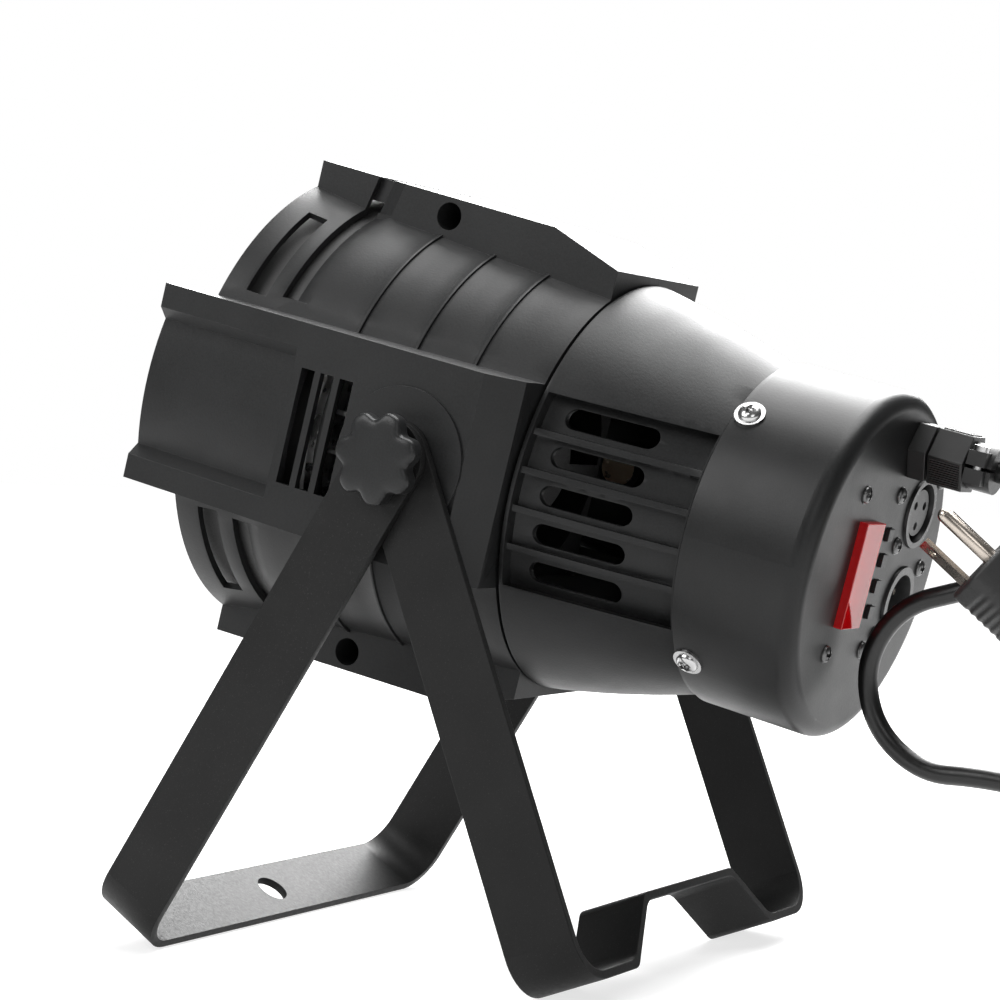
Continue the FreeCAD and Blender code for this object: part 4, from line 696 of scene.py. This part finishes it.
def addPlugBody():
    # a moulded plug: a rounded block with grip waves, then a ringed strain relief round the lead
    look = plugSet
    turn = (Matrix.Translation(fromPivot(*look["centre"]))
            @ Matrix.Rotation(math.radians(look["swing"]), 4, "Z")
            @ Matrix.Rotation(math.radians(90 - look["rise"]), 4, "X")
            @ Matrix.Rotation(math.radians(-look["roll"]), 4, "Z"))
    rings = []
    last = look["rings"] - 1
    whole = look["length"] + look["neck"]
    for step in range(look["rings"]):
        depth = whole * step / last
        blockShare = min(1.0, max(0.0, (look["length"] - depth) / 7.0))
        ease = math.sin(blockShare * math.pi / 2)
        wave = 0.0
        if look["waveFrom"] < depth < look["waveTo"]:
            wave = look["waveDepth"] * (1 - math.cos(2 * math.pi * depth / look["wavePitch"])) / 2
        edge = 1.1 * max(0.0, 1 - depth / 1.1) ** 2
        neck = look["neckRadius"] - look["neckTaper"] * min(1.0, max(0.0, (depth - 26) / 14))
        if depth > look["grooveFrom"] and (depth - look["grooveFrom"]) % look["wavePitch"] > look["grooveWidth"]:
            neck -= look["grooveDepth"]
        ring = []
        for index in range(look["sides"]):
            angle = 2 * math.pi * index / look["sides"]
            across = squared(math.cos(angle)) * (look["width"] / 2 - edge - wave)
            rise = squared(math.sin(angle)) * (look["depth"] / 2 - edge)
            x = neck * math.cos(angle) + (across - neck * math.cos(angle)) * ease
            y = neck * math.sin(angle) + (rise - neck * math.sin(angle)) * ease
            ring.append(turn @ (Vector((x, y, -depth)) * mm))
        rings.append(ring)
    body = meshPiece("mouldedPlug", closeUp(ringStack(rings), "mouldedPlug"), "plug_black", "head", 50)
    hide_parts("plug_body")
    return body


webSet = {"inner": 28.6, "outer": 29.8, "low": 79.0, "high": 87.2, "front": -73.0, "rear": -62.0}


def addSlotWebs():
    # a wall behind the slot in each side of the top and bottom pads, so that the slot ends blind
    look = webSet
    made = bmesh.new()
    for side, sign in ((1, 1), (1, -1), (-1, 1), (-1, -1)):
        corners = [onHead(side * x, y, sign * z) for x in (look["inner"], look["outer"])
                   for y in (look["front"], look["rear"]) for z in (look["low"], look["high"])]
        points = [made.verts.new(corner) for corner in corners]
        for face in ((0, 1, 3, 2), (4, 6, 7, 5), (0, 4, 5, 1), (2, 3, 7, 6), (0, 2, 6, 4), (1, 5, 7, 3)):
            made.faces.new([points[index] for index in face])
    meshPiece("slotWebs", closeUp(made, "slotWebs"), "shell_black", "head")


addSlotWebs()
addCapScrews()
addPanelScrews()
addNutRibs()
addKnobs()
plugBody = addPlugBody()

# soft edges on the moulded, bent and turned pieces: weld the triangles, clear flat seams, then a narrow bevel
edgeSet = {"front_shell_left": 0.35, "front_shell_right": 0.35, "cone_shell_left": 0.25, "cone_shell_right": 0.25,
           "front_bracket": 0.35, "rear_bracket": 0.35, "gland_body": 0.3, "gland_nut": 0.35, "cord_clamp": 0.3,
           "display_window": 0.25, "dmx_output_shell": 0.2, "dmx_input_shell": 0.2, "menu_button_1": 0.25,
           "menu_button_2": 0.25, "menu_button_3": 0.25, "menu_button_4": 0.25, "plug_pins": 0.2}


def softenEdges():
    for name, width in edgeSet.items():
        piece = nodes[name]
        weld = piece.modifiers.new("weld", "WELD")
        weld.merge_threshold = 0.000002
        if "shell" not in name:
            flatten = piece.modifiers.new("flatten", "DECIMATE")
            flatten.decimate_type = "DISSOLVE"
            flatten.angle_limit = math.radians(1.0)
        bevel = piece.modifiers.new("bevel", "BEVEL")
        bevel.width = width * mm
        bevel.segments = 2
        bevel.limit_method = "ANGLE"
        bevel.angle_limit = math.radians(40)
        bevel.use_clamp_overlap = True


softenEdges()
print("small hardware")


# floor, world and lamps

stageSet = {"floorSize": 30.0, "floorColour": 0.34, "lift": 0.74, "worldLevel": 0.12}
sunSet = {"from": (-0.2, 0.1, 1.0), "strength": 3.4, "softness": 45.0}
lampSet = [
    {"name": "topPanel", "from": (-1.1, -0.4, 1.1), "size": 1.2, "power": 66.0},
    {"name": "rearPanel", "from": (1.5, 1.2, 0.9), "size": 0.7, "power": 4.0},
    {"name": "frontPanel", "from": (1.1, -0.6, 1.05), "size": 0.9, "power": 14.0},
]


def addFloor():
    finish = Finish("floorPaper", {"Base Color": grey(stageSet["floorColour"]), "Roughness": 0.9,
                                   "Specular IOR Level": 0.1})
    seen = finish.node("ShaderNodeLightPath")
    glow = finish.node("ShaderNodeEmission", None, {"Color": grey(1.0)})
    level = Wire(finish, seen.outputs["Is Camera Ray"]).sum("MAXIMUM", seen.outputs["Is Camera Ray"],
                                                            seen.outputs["Is Glossy Ray"]) * stageSet["lift"]
    finish.feed(glow.inputs["Strength"], level)
    both = finish.node("ShaderNodeAddShader", None, {0: finish.shader.outputs[0], 1: glow.outputs[0]})
    output = next(item for item in finish.tree.nodes if item.type == "OUTPUT_MATERIAL")
    finish.feed(output.inputs["Surface"], both.outputs[0])
    half = stageSet["floorSize"] / 2
    mesh = bpy.data.meshes.new("floor")
    corners = [(-half, -half, 0), (half, -half, 0), (half, half, 0), (-half, half, 0)]
    mesh.from_pydata(corners, [], [(0, 1, 2, 3)])
    mesh.materials.append(finish.material)
    floor = bpy.data.objects.new("floor", mesh)
    bpy.context.collection.objects.link(floor)


def addWorld():
    world = bpy.data.worlds.new("studio")
    world.use_nodes = True
    bpy.context.scene.world = world
    sheet = NodeSheet(world.node_tree)
    world.node_tree.nodes.clear()
    seen = sheet.node("ShaderNodeLightPath")
    direct = Wire(sheet, seen.outputs["Is Camera Ray"])
    direct = direct.sum("MAXIMUM", direct, seen.outputs["Is Transmission Ray"])
    level = direct * (1 - stageSet["worldLevel"]) + stageSet["worldLevel"]
    sky = sheet.node("ShaderNodeBackground", None, {"Color": grey(1.0), "Strength": level})
    sheet.node("ShaderNodeOutputWorld", None, {"Surface": sky.outputs[0]})


def addLamps():
    target = pivot
    sunLight = bpy.data.lights.new("sun", "SUN")
    sunLight.energy = sunSet["strength"]
    sunLight.angle = math.radians(sunSet["softness"])
    sun = bpy.data.objects.new("sun", sunLight)
    bpy.context.collection.objects.link(sun)
    sun.location = Vector(sunSet["from"])
    sun.rotation_euler = Vector(sunSet["from"]).to_track_quat("Z", "Y").to_euler()
    for lamp in lampSet:
        light = bpy.data.lights.new(lamp["name"], "AREA")
        light.shape = "SQUARE"
        light.size = lamp["size"]
        light.energy = lamp["power"]
        holder = bpy.data.objects.new(lamp["name"], light)
        bpy.context.collection.objects.link(holder)
        holder.location = Vector(lamp["from"])
        holder.rotation_euler = (target - holder.location).to_track_quat("-Z", "Y").to_euler()


addFloor()
addWorld()
addLamps()
bpy.context.scene.view_settings.view_transform = "Standard"
print("stage, lamps and camera")
